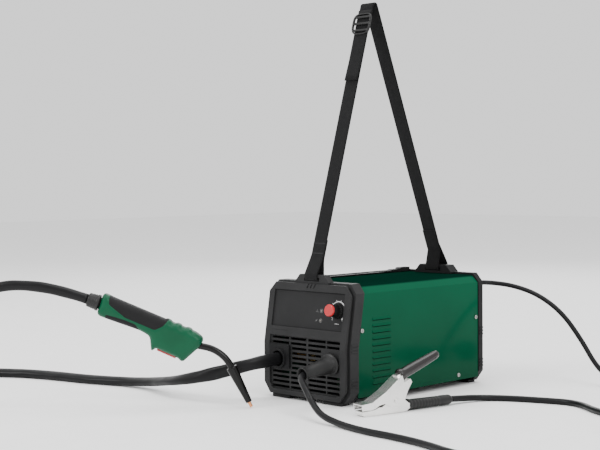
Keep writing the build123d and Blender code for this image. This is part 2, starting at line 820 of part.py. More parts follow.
with BuildPart() as feeder_frame:
    with BuildSketch(Plane.YZ.offset(-42)):
        with Locations((FEED_Y, WIRE_Z - 4)):
            RectangleRounded(74, 54, 4)
        with Locations((FEED_Y, WIRE_Z - ROLL_RADIUS)):
            Circle(6.6, mode=Mode.SUBTRACT)
    extrude(amount=5)
    for y in (FEED_Y - 30, FEED_Y + 30):
        with Locations((DIVIDER_X - 13.4, y, WIRE_Z - 22)):
            Box(24, 8, 12)
    with BuildSketch(Plane.YZ.offset(-42)):
        with Locations(ARM_PIVOT):
            Circle(3)
    extrude(amount=-26)
    with BuildSketch(Plane.YZ.offset(-42)):
        with Locations(LEVER_PIVOT):
            Circle(3)
    extrude(amount=-33)
save(feeder_frame, "feeder_frame")

with BuildPart() as wire_guides:
    for y0, y1 in ((FEED_Y - 36, FEED_Y - 18), (FEED_Y + 10, FEED_Y + 34)):
        with BuildSketch(across(y1)):
            with Locations(HOSE_AT):
                Circle(3)
                Circle(0.8, mode=Mode.SUBTRACT)
        extrude(amount=y1 - y0)
        with Locations((-49, (y0 + y1) / 2, WIRE_Z)):
            Box(13.9, 6, 5)
        with BuildSketch(across(y1)):
            with Locations(HOSE_AT):
                Circle(0.8)
        extrude(amount=y1 - y0, mode=Mode.SUBTRACT)
    # block that holds the hose's end fitting
    with BuildSketch(across(FEED_Y - 36)):
        with Locations(HOSE_AT):
            Circle(7)
    extrude(amount=30)
    with BuildSketch(across(FEED_Y - 66.5)):
        with Locations(HOSE_AT):
            Circle(7.6)
    extrude(amount=12)
    with Locations((-40, FEED_Y - 50, WIRE_Z)):
        Box(54.4, 8, 10)
save(wire_guides, "wire_guides")

with BuildPart() as feed_motor:
    with BuildSketch(Plane.YZ.offset(-36.2)):
        with Locations((FEED_Y, WIRE_Z - ROLL_RADIUS)):
            Circle(13)
    extrude(amount=85)
    with BuildSketch(Plane.YZ.offset(48)):
        with Locations((FEED_Y, WIRE_Z - ROLL_RADIUS)):
            Circle(5)
    extrude(amount=4)
save(feed_motor, "feed_motor")

with BuildPart() as drive_roller:
    with BuildSketch(Plane.YZ.offset(-36.5)):
        with Locations((FEED_Y, WIRE_Z - ROLL_RADIUS)):
            Circle(5.5)
    extrude(amount=-10)
    with BuildSketch(Plane.YZ.offset(WIRE_X - 6)):
        with Locations((FEED_Y, WIRE_Z - ROLL_RADIUS)):
            Circle(ROLL_RADIUS)
    extrude(amount=12)
    with BuildSketch(Plane.YZ.offset(WIRE_X - 0.7)):
        with Locations((FEED_Y, WIRE_Z - ROLL_RADIUS)):
            Circle(ROLL_RADIUS)
            Circle(ROLL_RADIUS - 0.8, mode=Mode.SUBTRACT)
    extrude(amount=1.4, mode=Mode.SUBTRACT)
    with BuildSketch(Plane.YZ.offset(-36.5)):
        with Locations((FEED_Y, WIRE_Z - ROLL_RADIUS)):
            Circle(5.5)
    extrude(amount=-16)
save(drive_roller, "drive_roller")

with BuildPart() as pressure_roller:
    with BuildSketch(Plane.YZ.offset(WIRE_X - 5)):
        with Locations((FEED_Y, WIRE_Z + IDLE_RADIUS + 0.3)):
            Circle(IDLE_RADIUS)
            Circle(3.05, mode=Mode.SUBTRACT)
    extrude(amount=10)
save(pressure_roller, "pressure_roller")

ARM_X = (WIRE_X - 9, WIRE_X - 5.5)
arm_top = WIRE_Z + 25
with BuildPart() as pressure_arm:
    with BuildSketch(Plane.YZ.offset(ARM_X[0])):
        Polygon(
            (ARM_PIVOT[0] + 6, ARM_PIVOT[1] - 5),
            (ARM_PIVOT[0] + 6, arm_top),
            (FEED_Y - 24, arm_top),
            (FEED_Y - 24, arm_top - 5),
            (FEED_Y - 8, arm_top - 6),
            (FEED_Y - 5, WIRE_Z + 4),
            (FEED_Y + 5, WIRE_Z + 4),
            (FEED_Y + 10, ARM_PIVOT[1] - 5),
            align=None,
        )
        with Locations(ARM_PIVOT):
            Circle(3.06, mode=Mode.SUBTRACT)
    extrude(amount=ARM_X[1] - ARM_X[0])
    with BuildSketch(Plane.YZ.offset(ARM_X[1])):
        with Locations((FEED_Y, WIRE_Z + IDLE_RADIUS + 0.3)):
            Circle(3)
    extrude(amount=11)
    # tab over the tension rod, with a slot that is open forwards
    with Locations((LEVER_X, FEED_Y - 19, arm_top - 2.5)):
        Box(12, 26, 5)
    with Locations((LEVER_X, FEED_Y - 27.5, arm_top - 2.5)):
        Box(5, 16, 6, mode=Mode.SUBTRACT)
save(pressure_arm, "pressure_arm")

with BuildPart() as tension_lever:
    with BuildSketch(Plane.YZ.offset(LEVER_X - 3)):
        with Locations(LEVER_PIVOT):
            Circle(6)
            Circle(3.06, mode=Mode.SUBTRACT)
    extrude(amount=6)
    with BuildSketch(Plane.XY.offset(LEVER_PIVOT[1] + 4.5)):
        with Locations((LEVER_X, LEVER_PIVOT[0])):
            Circle(1.8)
    extrude(amount=arm_top + 10 - LEVER_PIVOT[1] - 4.5)
    with BuildSketch(Plane.XY.offset(arm_top + 8.5)):
        with Locations((LEVER_X, LEVER_PIVOT[0])):
            Circle(6.5)
    extrude(amount=16)
save(tension_lever, "tension_lever")

# ---- power electronics ----------------------------------------------------------------

BOARD_AT = (36, -10, 34)

with BuildPart() as power_board:
    with Locations(BOARD_AT):
        Box(84, 190, 1.6)
    with GridLocations(68, 176, 2, 2):
        with Locations((BOARD_AT[0], BOARD_AT[1], BOARD_AT[2] - 11.4)):
            Cylinder(3, 22)
save(power_board, "power_board")

with BuildPart() as heat_sinks:
    for y in (-22, 50):
        with Locations((16, y, 38)):
            Box(44, 62, 4, align=(Align.CENTER, Align.CENTER, Align.MIN))
        with GridLocations(5.6, 0, 8, 1):
            with Locations((16, y, 40)):
                Box(1.6, 62, 30, align=(Align.CENTER, Align.CENTER, Align.MIN))
save(heat_sinks, "heat_sinks")

with BuildPart() as transformer:
    with Locations((60, -42, 35)):
        Box(30, 46, 44, align=(Align.CENTER, Align.CENTER, Align.MIN))
    with BuildSketch(across(-42 + 26)):
        with Locations((60, 57)):
            RectangleRounded(24, 30, 6)
    extrude(amount=52)
save(transformer, "transformer")

with BuildPart() as capacitors:
    with BuildSketch(Plane.XY.offset(35)):
        with Locations((60, 42), (60, 69)):
            Circle(12)
    extrude(amount=44)
save(capacitors, "capacitors")


# ---- carrying strap ---------------------------------------------------------------------


def strap_loop(y, y_range):
    """Webbing wrapped once round the bar of a lug."""
    half = (y_range[1] - y_range[0]) / 2
    middle = (y_range[1] + y_range[0]) / 2
    low = LUG_SLOT[2] - 3
    high = HEIGHT + 12
    with BuildPart() as loop:
        with BuildSketch(Plane.YZ):
            with Locations((middle, (low + high) / 2)):
                Rectangle(2 * half + 2 * GAP + 3, high - low + 2 * GAP + 3)
                Rectangle(2 * half + 2 * GAP, high - low + 2 * GAP, mode=Mode.SUBTRACT)
        extrude(amount=STRAP_WIDTH / 2, both=True)
    return loop.part


with BuildPart() as strap_loops:
    add(strap_loop(STRAP_FRONT_Y, LUG_Y))
    add(strap_loop(STRAP_REAR_Y, REAR_LUG_Y))
save(strap_loops, "strap_loops")

front_foot = (STRAP_FRONT_Y, LOOP_TOP + 1)
rear_foot = (STRAP_REAR_Y, LOOP_TOP + 1)
rise = Vector(STRAP_PEAK[0] - front_foot[0], STRAP_PEAK[1] - front_foot[1]).normalized()
ahead = Vector(-rise.Y, rise.X)
strap_out = Vector(0, ahead.X, ahead.Y)


def along_strap(height):
    """A point of the front run's middle, by its height above the floor."""
    share = (height - front_foot[1]) / (STRAP_PEAK[1] - front_foot[1])
    y = front_foot[0] + share * (STRAP_PEAK[0] - front_foot[0])
    return Vector(0, y, height)


BUCKLE_Z = 622
with BuildPart() as strap_buckle:
    with BuildSketch(Plane(along_strap(BUCKLE_Z) + strap_out * 1.1,
                           x_dir=(1, 0, 0), z_dir=strap_out)):
        RectangleRounded(41, 38, 4)
        with Locations((0, 10.5), (0, -10.5)):
            Rectangle(30, 6.5, mode=Mode.SUBTRACT)
        Rectangle(30, 4, mode=Mode.SUBTRACT)
    extrude(amount=4.2)
save(strap_buckle, "strap_buckle")

TAIL_LOW = 527
FOOT_LOW, FOOT_HIGH = LOOP_TOP + 4, LOOP_TOP + 26
FOOT_HALF = 2.2
with BuildPart() as strap_webbing:
    with BuildSketch(Plane.YZ):
        with BuildLine():
            FilletPolyline(front_foot, STRAP_PEAK, rear_foot, radius=5.5)
        trace(line_width=STRAP_THICK)
    extrude(amount=STRAP_WIDTH / 2, both=True)
    # the feet taper, as the webbing does where it folds over its loops to swing sideways
    with BuildSketch(Plane.XZ):
        Polygon(
            (-FOOT_HALF, FOOT_LOW), (FOOT_HALF, FOOT_LOW), (STRAP_WIDTH / 2, FOOT_HIGH),
            (STRAP_WIDTH / 2, 700), (-STRAP_WIDTH / 2, 700), (-STRAP_WIDTH / 2, FOOT_HIGH),
            align=None,
        )
    extrude(amount=LENGTH, both=True, mode=Mode.INTERSECT)
    # free end, which lies on the front run below the buckle
    low = along_strap(TAIL_LOW) + strap_out * STRAP_THICK
    high = along_strap(BUCKLE_Z - 21) + strap_out * STRAP_THICK
    with BuildSketch(Plane((low + high) * 0.5, x_dir=(1, 0, 0), z_dir=strap_out)):
        Rectangle(STRAP_WIDTH, (high - low).length)
    extrude(amount=STRAP_THICK / 2 + 0.01, both=True)
save(strap_webbing, "strap_webbing")


# ---- torch ----------------------------------------------------------------------------

torch_plane = Plane(
    origin=TORCH_TIP,
    x_dir=(cos(radians(TORCH_TURN)), sin(radians(TORCH_TURN)), 0),
    z_dir=(sin(radians(TORCH_TURN)), -cos(radians(TORCH_TURN)), 0),
)
HANDLE_HALF = 16.5
SHELL = 3
HANDLE = [
    (-243, 151), (-230, 187), (-216, 179), (-84, 122), (-73, 112), (-78, 100), (-108, 74),
    (-116, 82), (-149, 97), (-157, 92), (-159, 116), (-173, 125), (-226, 144),
]
TRIGGER_PIVOT = (-115, 89)
TRIGGER_EDGE = ((-117, 82.4), (-148, 96.5))     # bottom edge between the two guards
NECK = [(-95, 102.8), (-43.5, 91.9), (-29.7, 63.9)]
NECK_D = 11
NOZZLE_TOP = (-29.7, 63.9)
TIP_END = (1.0, 1.8)
COLLAR_AT = (-237, 168.5)
COLLAR_DIR = (-0.945, 0.326)


def torch_point(x, z):
    """A point of the torch's own plane as a place in the machine's frame."""
    return torch_plane.from_local_coords(Vector(x, z, 0))


def torch_axis(start, end):
    """A plane at start that faces along the line to end, both in the torch's plane."""
    first = torch_point(*start)
    return Plane(origin=first, x_dir=torch_plane.z_dir, z_dir=torch_point(*end) - first)


def handle_block(inset, half):
    """The handle's side outline, moved inwards, as a block of the given half width."""
    with BuildPart() as block:
        with BuildSketch(torch_plane) as side:
            Polygon(*HANDLE, align=None)
            fillet(side.vertices(), 2.5)
            if inset:
                offset(amount=-inset, kind=Kind.INTERSECTION, mode=Mode.REPLACE)
        extrude(amount=half, both=True)
    return block.part


trigger_line = Vector(
    TRIGGER_EDGE[0][0] - TRIGGER_EDGE[1][0], TRIGGER_EDGE[0][1] - TRIGGER_EDGE[1][1]
)
trigger_turn = trigger_line.get_angle(Vector(1, 0))
trigger_centre = (
    (TRIGGER_EDGE[0][0] + TRIGGER_EDGE[1][0]) / 2,
    (TRIGGER_EDGE[0][1] + TRIGGER_EDGE[1][1]) / 2,
)
collar_plane = torch_axis(
    COLLAR_AT, (COLLAR_AT[0] + COLLAR_DIR[0], COLLAR_AT[1] + COLLAR_DIR[1])
)
GRIP_ZONES = [
    [(-222, 200), (-219, 168), (-196, 146), (-150, 126), (-134, 134), (-124, 160)],
    [(-229, 130), (-226, 152), (-196, 144), (-178, 136), (-172, 118)],
]

with BuildPart() as handle_shell:
    add(handle_block(0, HANDLE_HALF))
    chamfer(handle_shell.faces().filter_by(Axis(torch_plane.origin, torch_plane.z_dir))
            .edges(), 2.2)
    add(handle_block(SHELL, HANDLE_HALF - SHELL), mode=Mode.SUBTRACT)
    with BuildSketch(torch_plane):
        with Locations(trigger_centre):
            Rectangle(34.6, 16, rotation=-trigger_turn)
    extrude(amount=5.5, both=True, mode=Mode.SUBTRACT)
    with BuildSketch(collar_plane):
        Circle(9.3)
    extrude(amount=12, both=True, mode=Mode.SUBTRACT)
    with BuildSketch(torch_axis(NECK[0], NECK[1])):
        Circle(NECK_D / 2)
    extrude(amount=40, mode=Mode.SUBTRACT)

with BuildPart() as grip_space:
    with BuildSketch(torch_plane):
        for zone in GRIP_ZONES:
            Polygon(*zone, align=None)
    extrude(amount=30, both=True)

for side, keep in (("left", Keep.BOTTOM), ("right", Keep.TOP)):
    with BuildPart() as handle_half:
        add(handle_shell.part)
        add(grip_space.part, mode=Mode.SUBTRACT)
        split(bisect_by=torch_plane, keep=keep)
    save(handle_half, f"torch_handle_{side}")

with BuildPart() as torch_grips:
    add(handle_shell.part)
    add(grip_space.part, mode=Mode.INTERSECT)
save(torch_grips, "torch_grips")

with BuildPart() as torch_trigger:
    with BuildSketch(torch_plane):
        with Locations(trigger_centre):
            with Locations(Location((0, 0), -trigger_turn)):
                with Locations((0, 1.6)):
                    Rectangle(32, 10.4)
    extrude(amount=4.9, both=True)
save(torch_trigger, "torch_trigger")

with BuildPart() as torch_collar:
    with BuildSketch(collar_plane.offset(-3)):
        Circle(9.1)
    extrude(amount=6)
    with BuildSketch(collar_plane.offset(3)):
        Circle(13)
    with BuildSketch(collar_plane.offset(20)):
        Circle(11)
    loft()
    with BuildSketch(collar_plane.offset(-3)):
        Circle(HOSE_D / 2)
    extrude(amount=23, mode=Mode.SUBTRACT)
save(torch_collar, "torch_collar")

with BuildPart() as swan_neck:
    with BuildLine(torch_plane) as neck_line:
        FilletPolyline(*NECK, radius=58)
    with BuildSketch(Plane(origin=neck_line.line @ 0, z_dir=neck_line.line % 0)):
        Circle(NECK_D / 2)
    sweep()
save(swan_neck, "swan_neck")

nozzle_plane = torch_axis(NOZZLE_TOP, TIP_END)
nozzle_reach = hypot(TIP_END[0] - NOZZLE_TOP[0], TIP_END[1] - NOZZLE_TOP[1])
with BuildPart() as nozzle:
    with BuildSketch(nozzle_plane):
        Circle(8.6)
    with BuildSketch(nozzle_plane.offset(nozzle_reach - 9)):
        Circle(4.9)
    loft()
    with BuildSketch(nozzle_plane.offset(nozzle_reach - 9)):
        Circle(3.9)
    with BuildSketch(nozzle_plane.offset(14)):
        Circle(6.6)
    loft(mode=Mode.SUBTRACT)
save(nozzle, "nozzle")

with BuildPart() as contact_tip:
    with BuildSketch(nozzle_plane.offset(14)):
        Circle(3.4)
    extrude(amount=nozzle_reach - 34)
    with BuildSketch(nozzle_plane.offset(nozzle_reach - 30)):
        Circle(2.6)
    extrude(amount=29.6)
    with BuildSketch(nozzle_plane.offset(nozzle_reach - 0.4)):
        Circle(0.5)
    extrude(amount=-20, mode=Mode.SUBTRACT)
save(contact_tip, "contact_tip")


# ---- earth clamp ------------------------------------------------------------------------

clamp_plane = Plane(
    origin=CLAMP_AT,
    x_dir=(cos(radians(CLAMP_TURN)), sin(radians(CLAMP_TURN)), 0),
    z_dir=(sin(radians(CLAMP_TURN)), -cos(radians(CLAMP_TURN)), 0),
)
RIVET_AT = (50, 19.5)
STEEL = 1.5
LOWER_ARM = [
    (-14, 8), (-13, 2), (-8, 0), (70, 0.8), (76, 5), (98, 5), (98, 13), (76, 13), (64, 22),
    (56, 26), (44, 26), (34, 18.5), (24, 12), (17, 12), (10, 9.5), (0, 8.6),
]
UPPER_ARM = [
    (-16, 19), (-15, 9.6), (0, 9.6), (9, 11), (17, 15.5), (27, 17), (38, 11), (58, 10),
    (66, 20), (72, 34), (80, 46), (74, 57), (62, 58), (50, 50), (30, 35), (4, 21),
]
UPPER_SLEEVE = ((62, 55.4), (139, 84.4))
LOWER_SLEEVE = ((77, 9.2), (165, 9.2))


def channel(outline, half, lift):
    """A pressed steel channel: its side outline hollowed from above or below."""
    with BuildPart() as arm:
        with BuildSketch(clamp_plane):
            Polygon(*outline, align=None)
        extrude(amount=half, both=True)
        with BuildSketch(clamp_plane):
            Polygon(*[(x, z + lift) for x, z in outline], align=None)
        extrude(amount=half - STEEL, both=True, mode=Mode.SUBTRACT)
        with BuildSketch(clamp_plane):
            with Locations(RIVET_AT):
                Circle(3.05)
        extrude(amount=20, both=True, mode=Mode.SUBTRACT)
    return arm.part


def sleeve(start, end, tail):
    """A dipped rubber grip along the line from start to end, with its arm's tail inside."""
    first = clamp_plane.from_local_coords(Vector(*start, 0))
    last = clamp_plane.from_local_coords(Vector(*end, 0))
    mouth = Plane(origin=first, x_dir=clamp_plane.z_dir, z_dir=last - first)
    reach = (last - first).length
    with BuildPart() as grip:
        with BuildSketch(mouth):
            Ellipse(9, 8.6)
        extrude(amount=reach)
        chamfer(grip.faces().sort_by(Axis(first, last - first))[-1].edges(), 2)
        with BuildSketch(mouth):
            Rectangle(*tail)
        extrude(amount=21.5, mode=Mode.SUBTRACT)
    return grip.part


TAIL = (12.4, 8.4)          # across and up
with BuildPart() as clamp_lower_arm:
    add(channel(LOWER_ARM, 9.5, STEEL))
    with BuildSketch(clamp_plane):
        with Locations((87, 9)):
            Rectangle(26, 20)
    extrude(amount=6, both=True, mode=Mode.SUBTRACT)
    with BuildSketch(clamp_plane):
        with Locations((86, 9)):
            Rectangle(24, 8)
    extrude(amount=6, both=True)
    with BuildSketch(clamp_plane):
        with Locations((89, 9)):
            Rectangle(24, 20)
    extrude(amount=20, both=True, mode=Mode.SUBTRACT)
    with BuildSketch(clamp_plane):
        with Locations((86, 9)):
            Rectangle(24, 8)
    extrude(amount=6, both=True)
save(clamp_lower_arm, "clamp_lower_arm")

with BuildPart() as clamp_upper_arm:
    add(channel(UPPER_ARM, 11.6, -STEEL))
    first = clamp_plane.from_local_coords(Vector(*UPPER_SLEEVE[0], 0))
    last = clamp_plane.from_local_coords(Vector(*UPPER_SLEEVE[1], 0))
    sleeve_axis = Plane(origin=first, x_dir=clamp_plane.z_dir, z_dir=last - first)
    with BuildSketch(sleeve_axis):
        Rectangle(30, 18)
    extrude(amount=40, mode=Mode.SUBTRACT)
    with BuildSketch(sleeve_axis.offset(-6)):
        Rectangle(TAIL[0] - 0.4, TAIL[1] - 0.4)
    extrude(amount=26)
save(clamp_upper_arm, "clamp_upper_arm")

with BuildPart() as clamp_rivet:
    with BuildSketch(clamp_plane.offset(-12)):
        with Locations(RIVET_AT):
            Circle(3)
    extrude(amount=24)
    for base, reach in ((11.8, 1.6), (-11.8, -1.6)):
        with BuildSketch(clamp_plane.offset(base)):
            with Locations(RIVET_AT):
                Circle(4.6)
        extrude(amount=reach)
save(clamp_rivet, "clamp_rivet")

with BuildPart() as clamp_lower_sleeve:
    add(sleeve(*LOWER_SLEEVE, TAIL))
save(clamp_lower_sleeve, "clamp_lower_sleeve")

with BuildPart() as clamp_upper_sleeve:
    add(sleeve(*UPPER_SLEEVE, TAIL))
save(clamp_upper_sleeve, "clamp_upper_sleeve")


# ---- cords --------------------------------------------------------------------------------

HOSE_COIL = ((-640, -500), 93.5)        # centre, and middle radius of the turns
EARTH_COIL = ((560, -40), 55)
MAINS_COIL = ((370, 330), 47)

HOSE_OUT = [
    (-57, -163.5, 66), (-57.2, -205, 64.6), (-76.5, -246, 57), (-117, -277, 43.5),
    (-168, -290, 32), (-222, -283, 22.5), (-274, -270, 14.5), (-331, -272, 8.8), (-384, -290, 8),
    (-434, -306, 8), (-480, -314, 8), (-530, -326, 8), (-584, -350, 8), (-640, -388, 8),
    (-688, -424, 8),
]
HOSE_BACK = [
    (-622, -593, 9), (-574, -597, 8.5), (-524, -610, 8.5), (-474, -623, 14), (-430, -628, 40),
    (-392, -624, 84), (-362, -611, 134), (-336, -590, 176), (-300, -555, 199),
    (-258, -513, 197), torch_point(-283, 184.5), torch_point(-256, 175.2),
]
EARTH_OUT = [
    (60.5, -226.5, 60.6), (62.2, -243.7, 57.1), (72.1, -257.9, 53.4), (103.3, -274.5, 38.1),
    (116.5, -278.3, 24.9), (153.8, -297.2, 12), (196, -301, 5), (254, -315, 5), (318, -317, 5.2),
    (380, -327, 5), (440, -348, 5), (500, -346, 5), (556, -316, 5), (600, -270, 5), (622, -210, 5),
    (626, -150, 5), (620.4, -95, 5),
]
EARTH_BACK = [
    (548, 15.6, 14.8), (505, 18, 15), (455, 24, 6), (412, 40, 5), (350, 84, 5), (292, 66, 5),
    (244, 47, 5), (212, 22, 5.5), (199, -10, 7.5), (193.6, -42, 9.2),
]
MAINS_OUT = [
    (45, 188, 172), (45.5, 222, 171.8), (62, 248, 170.5), (98, 264, 166), (146, 272, 152),
    (194, 276, 122), (234, 276, 76), (264, 274, 34), (300, 276, 8), (346, 281, 4.5),
    (384, 286, 5),
]
MAINS_BACK = [
    (372, 377, 5), (358, 381, 8), (342, 386, 14), (326, 390, 18),
]
PLUG_AT = (300, 390, 18)


def corner_radii(points):
    """The arc radius at each corner of a route: as large as its two runs allow."""
    route = [Vector(*point) for point in points]
    radii = []
    for before, corner, after in zip(route, route[1:], route[2:]):
        turn = radians((corner - before).get_angle(after - corner))
        shorter = min((corner - before).length, (after - corner).length)
        radii.append(0.45 * shorter / tan(turn / 2))
    return radii


def cord_tube(points, diameter):
    """A plain round tube along a route."""
    radii = corner_radii(points)
    print("radii", [round(radius) for radius in radii], "smallest / d",
          round(min(radii) / diameter, 1))
    with BuildPart() as tube:
        with BuildLine() as route:
            FilletPolyline(*points, radius=radii)
        with BuildSketch(Plane(origin=route.line @ 0, z_dir=route.line % 0)):
            Circle(diameter / 2)
        sweep()
    reach = sum(edge.length for edge in route.edges())
    share = tube.part.volume / (pi * diameter ** 2 / 4 * reach)
    print("length", round(reach), "volume share", round(share, 3))
    return tube.part


def coil_ring(coil, diameter):
    """The outer shape of a flat coil of two layers, lying on the floor."""
    (x, y), radius = coil
    with BuildPart() as ring:
        with BuildSketch():
            with Locations((x, y)):
                Circle(radius + diameter + 2)
                Circle(radius - diameter - 2, mode=Mode.SUBTRACT)
        extrude(amount=2 * diameter + 2)
        fillet(ring.edges().filter_by(GeomType.CIRCLE), diameter / 3)
    return ring.part


for name, out, back, coil, diameter in (
    ("hose", HOSE_OUT, HOSE_BACK, HOSE_COIL, HOSE_D),
    ("earth_lead", EARTH_OUT, EARTH_BACK, EARTH_COIL, EARTH_D),
    ("mains_lead", MAINS_OUT, MAINS_BACK, MAINS_COIL, MAINS_D),
):
    with BuildPart() as tubes:
        add(cord_tube(out, diameter))
        add(cord_tube(back, diameter))
    save(tubes, f"{name}_run")
    with BuildPart() as wound:
        add(coil_ring(coil, diameter))
    save(wound, f"{name}_coil")

plug_plane = Plane(origin=(PLUG_AT[0] + 26, PLUG_AT[1], PLUG_AT[2]), z_dir=(-1, 0, 0))
with BuildPart() as mains_plug:
    with BuildSketch(plug_plane):
        Circle(7)
    with BuildSketch(plug_plane.offset(20)):
        Circle(11)
    loft()
    with BuildSketch(plug_plane.offset(20)):
        Circle(17.8)
    extrude(amount=24)
    with BuildSketch(plug_plane.offset(44)):
        with Locations((0, 9.5), (0, -9.5)):
            Circle(2.4)
    extrude(amount=19)
save(mains_plug, "mains_plug")
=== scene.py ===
import json
from math import atan2, cos, pi, radians, sin

import bmesh
import bpy
from mathutils import Matrix, Vector
from mathutils.geometry import delaunay_2d_cdt


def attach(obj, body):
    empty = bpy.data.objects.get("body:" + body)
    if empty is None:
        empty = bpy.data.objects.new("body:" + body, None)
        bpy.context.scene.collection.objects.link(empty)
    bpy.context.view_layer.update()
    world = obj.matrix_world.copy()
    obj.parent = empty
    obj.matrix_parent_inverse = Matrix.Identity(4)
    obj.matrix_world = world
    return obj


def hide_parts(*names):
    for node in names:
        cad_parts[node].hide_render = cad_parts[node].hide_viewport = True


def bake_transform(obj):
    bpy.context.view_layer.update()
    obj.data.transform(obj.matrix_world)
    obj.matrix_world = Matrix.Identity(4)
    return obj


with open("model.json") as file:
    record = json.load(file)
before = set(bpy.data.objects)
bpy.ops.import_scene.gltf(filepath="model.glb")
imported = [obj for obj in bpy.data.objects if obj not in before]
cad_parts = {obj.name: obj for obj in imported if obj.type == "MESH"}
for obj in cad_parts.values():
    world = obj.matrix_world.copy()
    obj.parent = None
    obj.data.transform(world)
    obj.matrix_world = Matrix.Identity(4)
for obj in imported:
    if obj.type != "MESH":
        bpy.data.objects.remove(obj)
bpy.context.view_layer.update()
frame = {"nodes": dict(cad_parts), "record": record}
MM = 0.001


def mm(x, y, z):
    return Vector((x, y, z)) * MM


# ---- camera, floor and light -------------------------------------------------------------


def add_object(name, data):
    piece = bpy.data.objects.new(name, data)
    bpy.context.scene.collection.objects.link(piece)
    return piece


FOCAL_LENGTH, SENSOR_WIDTH = 78.97, 36
CAMERA_AT = (1499.5, -1690.5, 367.1)
HEADING, DOWNWARD, ROLL = 44.8595, 2.134, -0.4692      # degrees


def make_camera():
    lens = bpy.data.cameras.new("camera")
    lens.lens = FOCAL_LENGTH
    lens.sensor_width = SENSOR_WIDTH
    lens.clip_end = 50
    camera = add_object("camera", lens)
    camera.matrix_world = (
        Matrix.Translation(mm(*CAMERA_AT))
        @ Matrix.Rotation(radians(HEADING), 4, "Z")
        @ Matrix.Rotation(radians(90 - DOWNWARD), 4, "X")
        @ Matrix.Rotation(radians(ROLL), 4, "Z")
    )
    bpy.context.scene.camera = camera


def make_light(name, spot, target, size, power):
    lamp = bpy.data.lights.new(name, "AREA")
    lamp.shape = "RECTANGLE"
    lamp.size, lamp.size_y = size
    lamp.energy = power
    light = add_object(name, lamp)
    light.location = spot
    aim = Vector(target) - Vector(spot)
    light.rotation_euler = aim.to_track_quat("-Z", "Y").to_euler()


make_camera()
make_light("key", (-0.9, -2.6, 2.3), (0, -0.1, 0.1), (1.6, 1.2), 62)
make_light("side", (2.6, -0.7, 1.9), (0.1, 0, 0.1), (1.2, 1.2), 34)
make_light("top", (0.2, 0.3, 3.0), (0, 0, 0), (2.2, 2.2), 52)
make_light("back", (-1.6, 2.0, 1.6), (0, 0, 0.1), (1.6, 1.2), 22)

world = bpy.data.worlds.new("studio")
bpy.context.scene.world = world
world.use_nodes = True
world.node_tree.nodes["Background"].inputs["Color"].default_value = (1, 1, 1, 1)
world.node_tree.nodes["Background"].inputs["Strength"].default_value = 1.25


# ---- materials ---------------------------------------------------------------------------


class Shader:
    """A Principled material whose nodes are added one call at a time."""

    def __init__(self, name, **sockets):
        self.material = bpy.data.materials.new(name)
        self.material.use_nodes = True
        self.tree = self.material.node_tree
        self.bsdf = self.tree.nodes["Principled BSDF"]
        for socket, value in sockets.items():
            self.bsdf.inputs[socket.replace("_", " ")].default_value = value
        self.place = self.node("ShaderNodeTexCoord").outputs["Object"]

    def node(self, kind, **settings):
        node = self.tree.nodes.new(kind)
        for key, value in settings.items():
            setattr(node, key, value)
        return node

    def feed(self, node, **inputs):
        """Sets each named input to a number, or joins it to another node's output."""
        for key, value in inputs.items():
            socket = node.inputs[key.replace("_", " ")]
            if isinstance(value, bpy.types.NodeSocket):
                self.tree.links.new(value, socket)
            else:
                socket.default_value = value
        return node

    def noise(self, scale, detail=3.0, rough=0.5, place=None):
        node = self.node("ShaderNodeTexNoise")
        self.feed(node, Vector=place or self.place, Scale=scale, Detail=detail, Roughness=rough)
        return node.outputs["Fac"]

    def math(self, operation, first, second=0.0):
        node = self.node("ShaderNodeMath", operation=operation)
        for index, value in enumerate((first, second)):
            if isinstance(value, bpy.types.NodeSocket):
                self.tree.links.new(value, node.inputs[index])
            else:
                node.inputs[index].default_value = value
        return node.outputs[0]

    def span(self, value, low, high, start=0.3, stop=0.7):
        node = self.node("ShaderNodeMapRange")
        self.feed(node, Value=value, From_Min=start, From_Max=stop, To_Min=low, To_Max=high)
        return node.outputs[0]

    def mix(self, share, first, second):
        node = self.node("ShaderNodeMix", data_type="RGBA")
        self.tree.links.new(share, node.inputs["Factor"])
        for key, value in (("A", first), ("B", second)):
            socket = [one for one in node.inputs if one.name == key and one.type == "RGBA"][0]
            if isinstance(value, bpy.types.NodeSocket):
                self.tree.links.new(value, socket)
            else:
                socket.default_value = (*value, 1)
        return [one for one in node.outputs if one.type == "RGBA"][0]

    def colour(self, value):
        self.tree.links.new(value, self.bsdf.inputs["Base Color"])

    def roughness(self, value):
        self.tree.links.new(value, self.bsdf.inputs["Roughness"])

    def relief(self, layers, edge=0.0):
        """Bumps one height over another, on edges rounded by the given radius in metres."""
        normal = None
        if edge:
            bevel = self.node("ShaderNodeBevel", samples=4)
            bevel.inputs["Radius"].default_value = edge
            normal = bevel.outputs[0]
        for height, depth in layers:
            bump = self.node("ShaderNodeBump")
            self.feed(bump, Height=height, Distance=depth)
            if normal:
                self.tree.links.new(normal, bump.inputs["Normal"])
            normal = bump.outputs[0]
        if normal:
            self.tree.links.new(normal, self.bsdf.inputs["Normal"])


def shade(colour, factor):
    return tuple(min(1.0, max(0.0, part * factor)) for part in colour)


def moulded(name, colour, rough=0.5, grain=900, depth=0.00006, edge=0.0008, mottle=0.12,
            **sockets):
    """Moulded plastic or rubber: fine grain, faint clouding and softly rounded edges."""
    made = Shader(name, **sockets)
    cloud = made.span(made.noise(22, 4), 0, 1)
    made.colour(made.mix(cloud, shade(colour, 1 - mottle), shade(colour, 1 + mottle)))
    fine = made.noise(grain, 2)
    made.roughness(made.span(made.noise(60, 3), rough - 0.06, rough + 0.07))
    made.relief([(fine, depth)], edge)
    return made.material


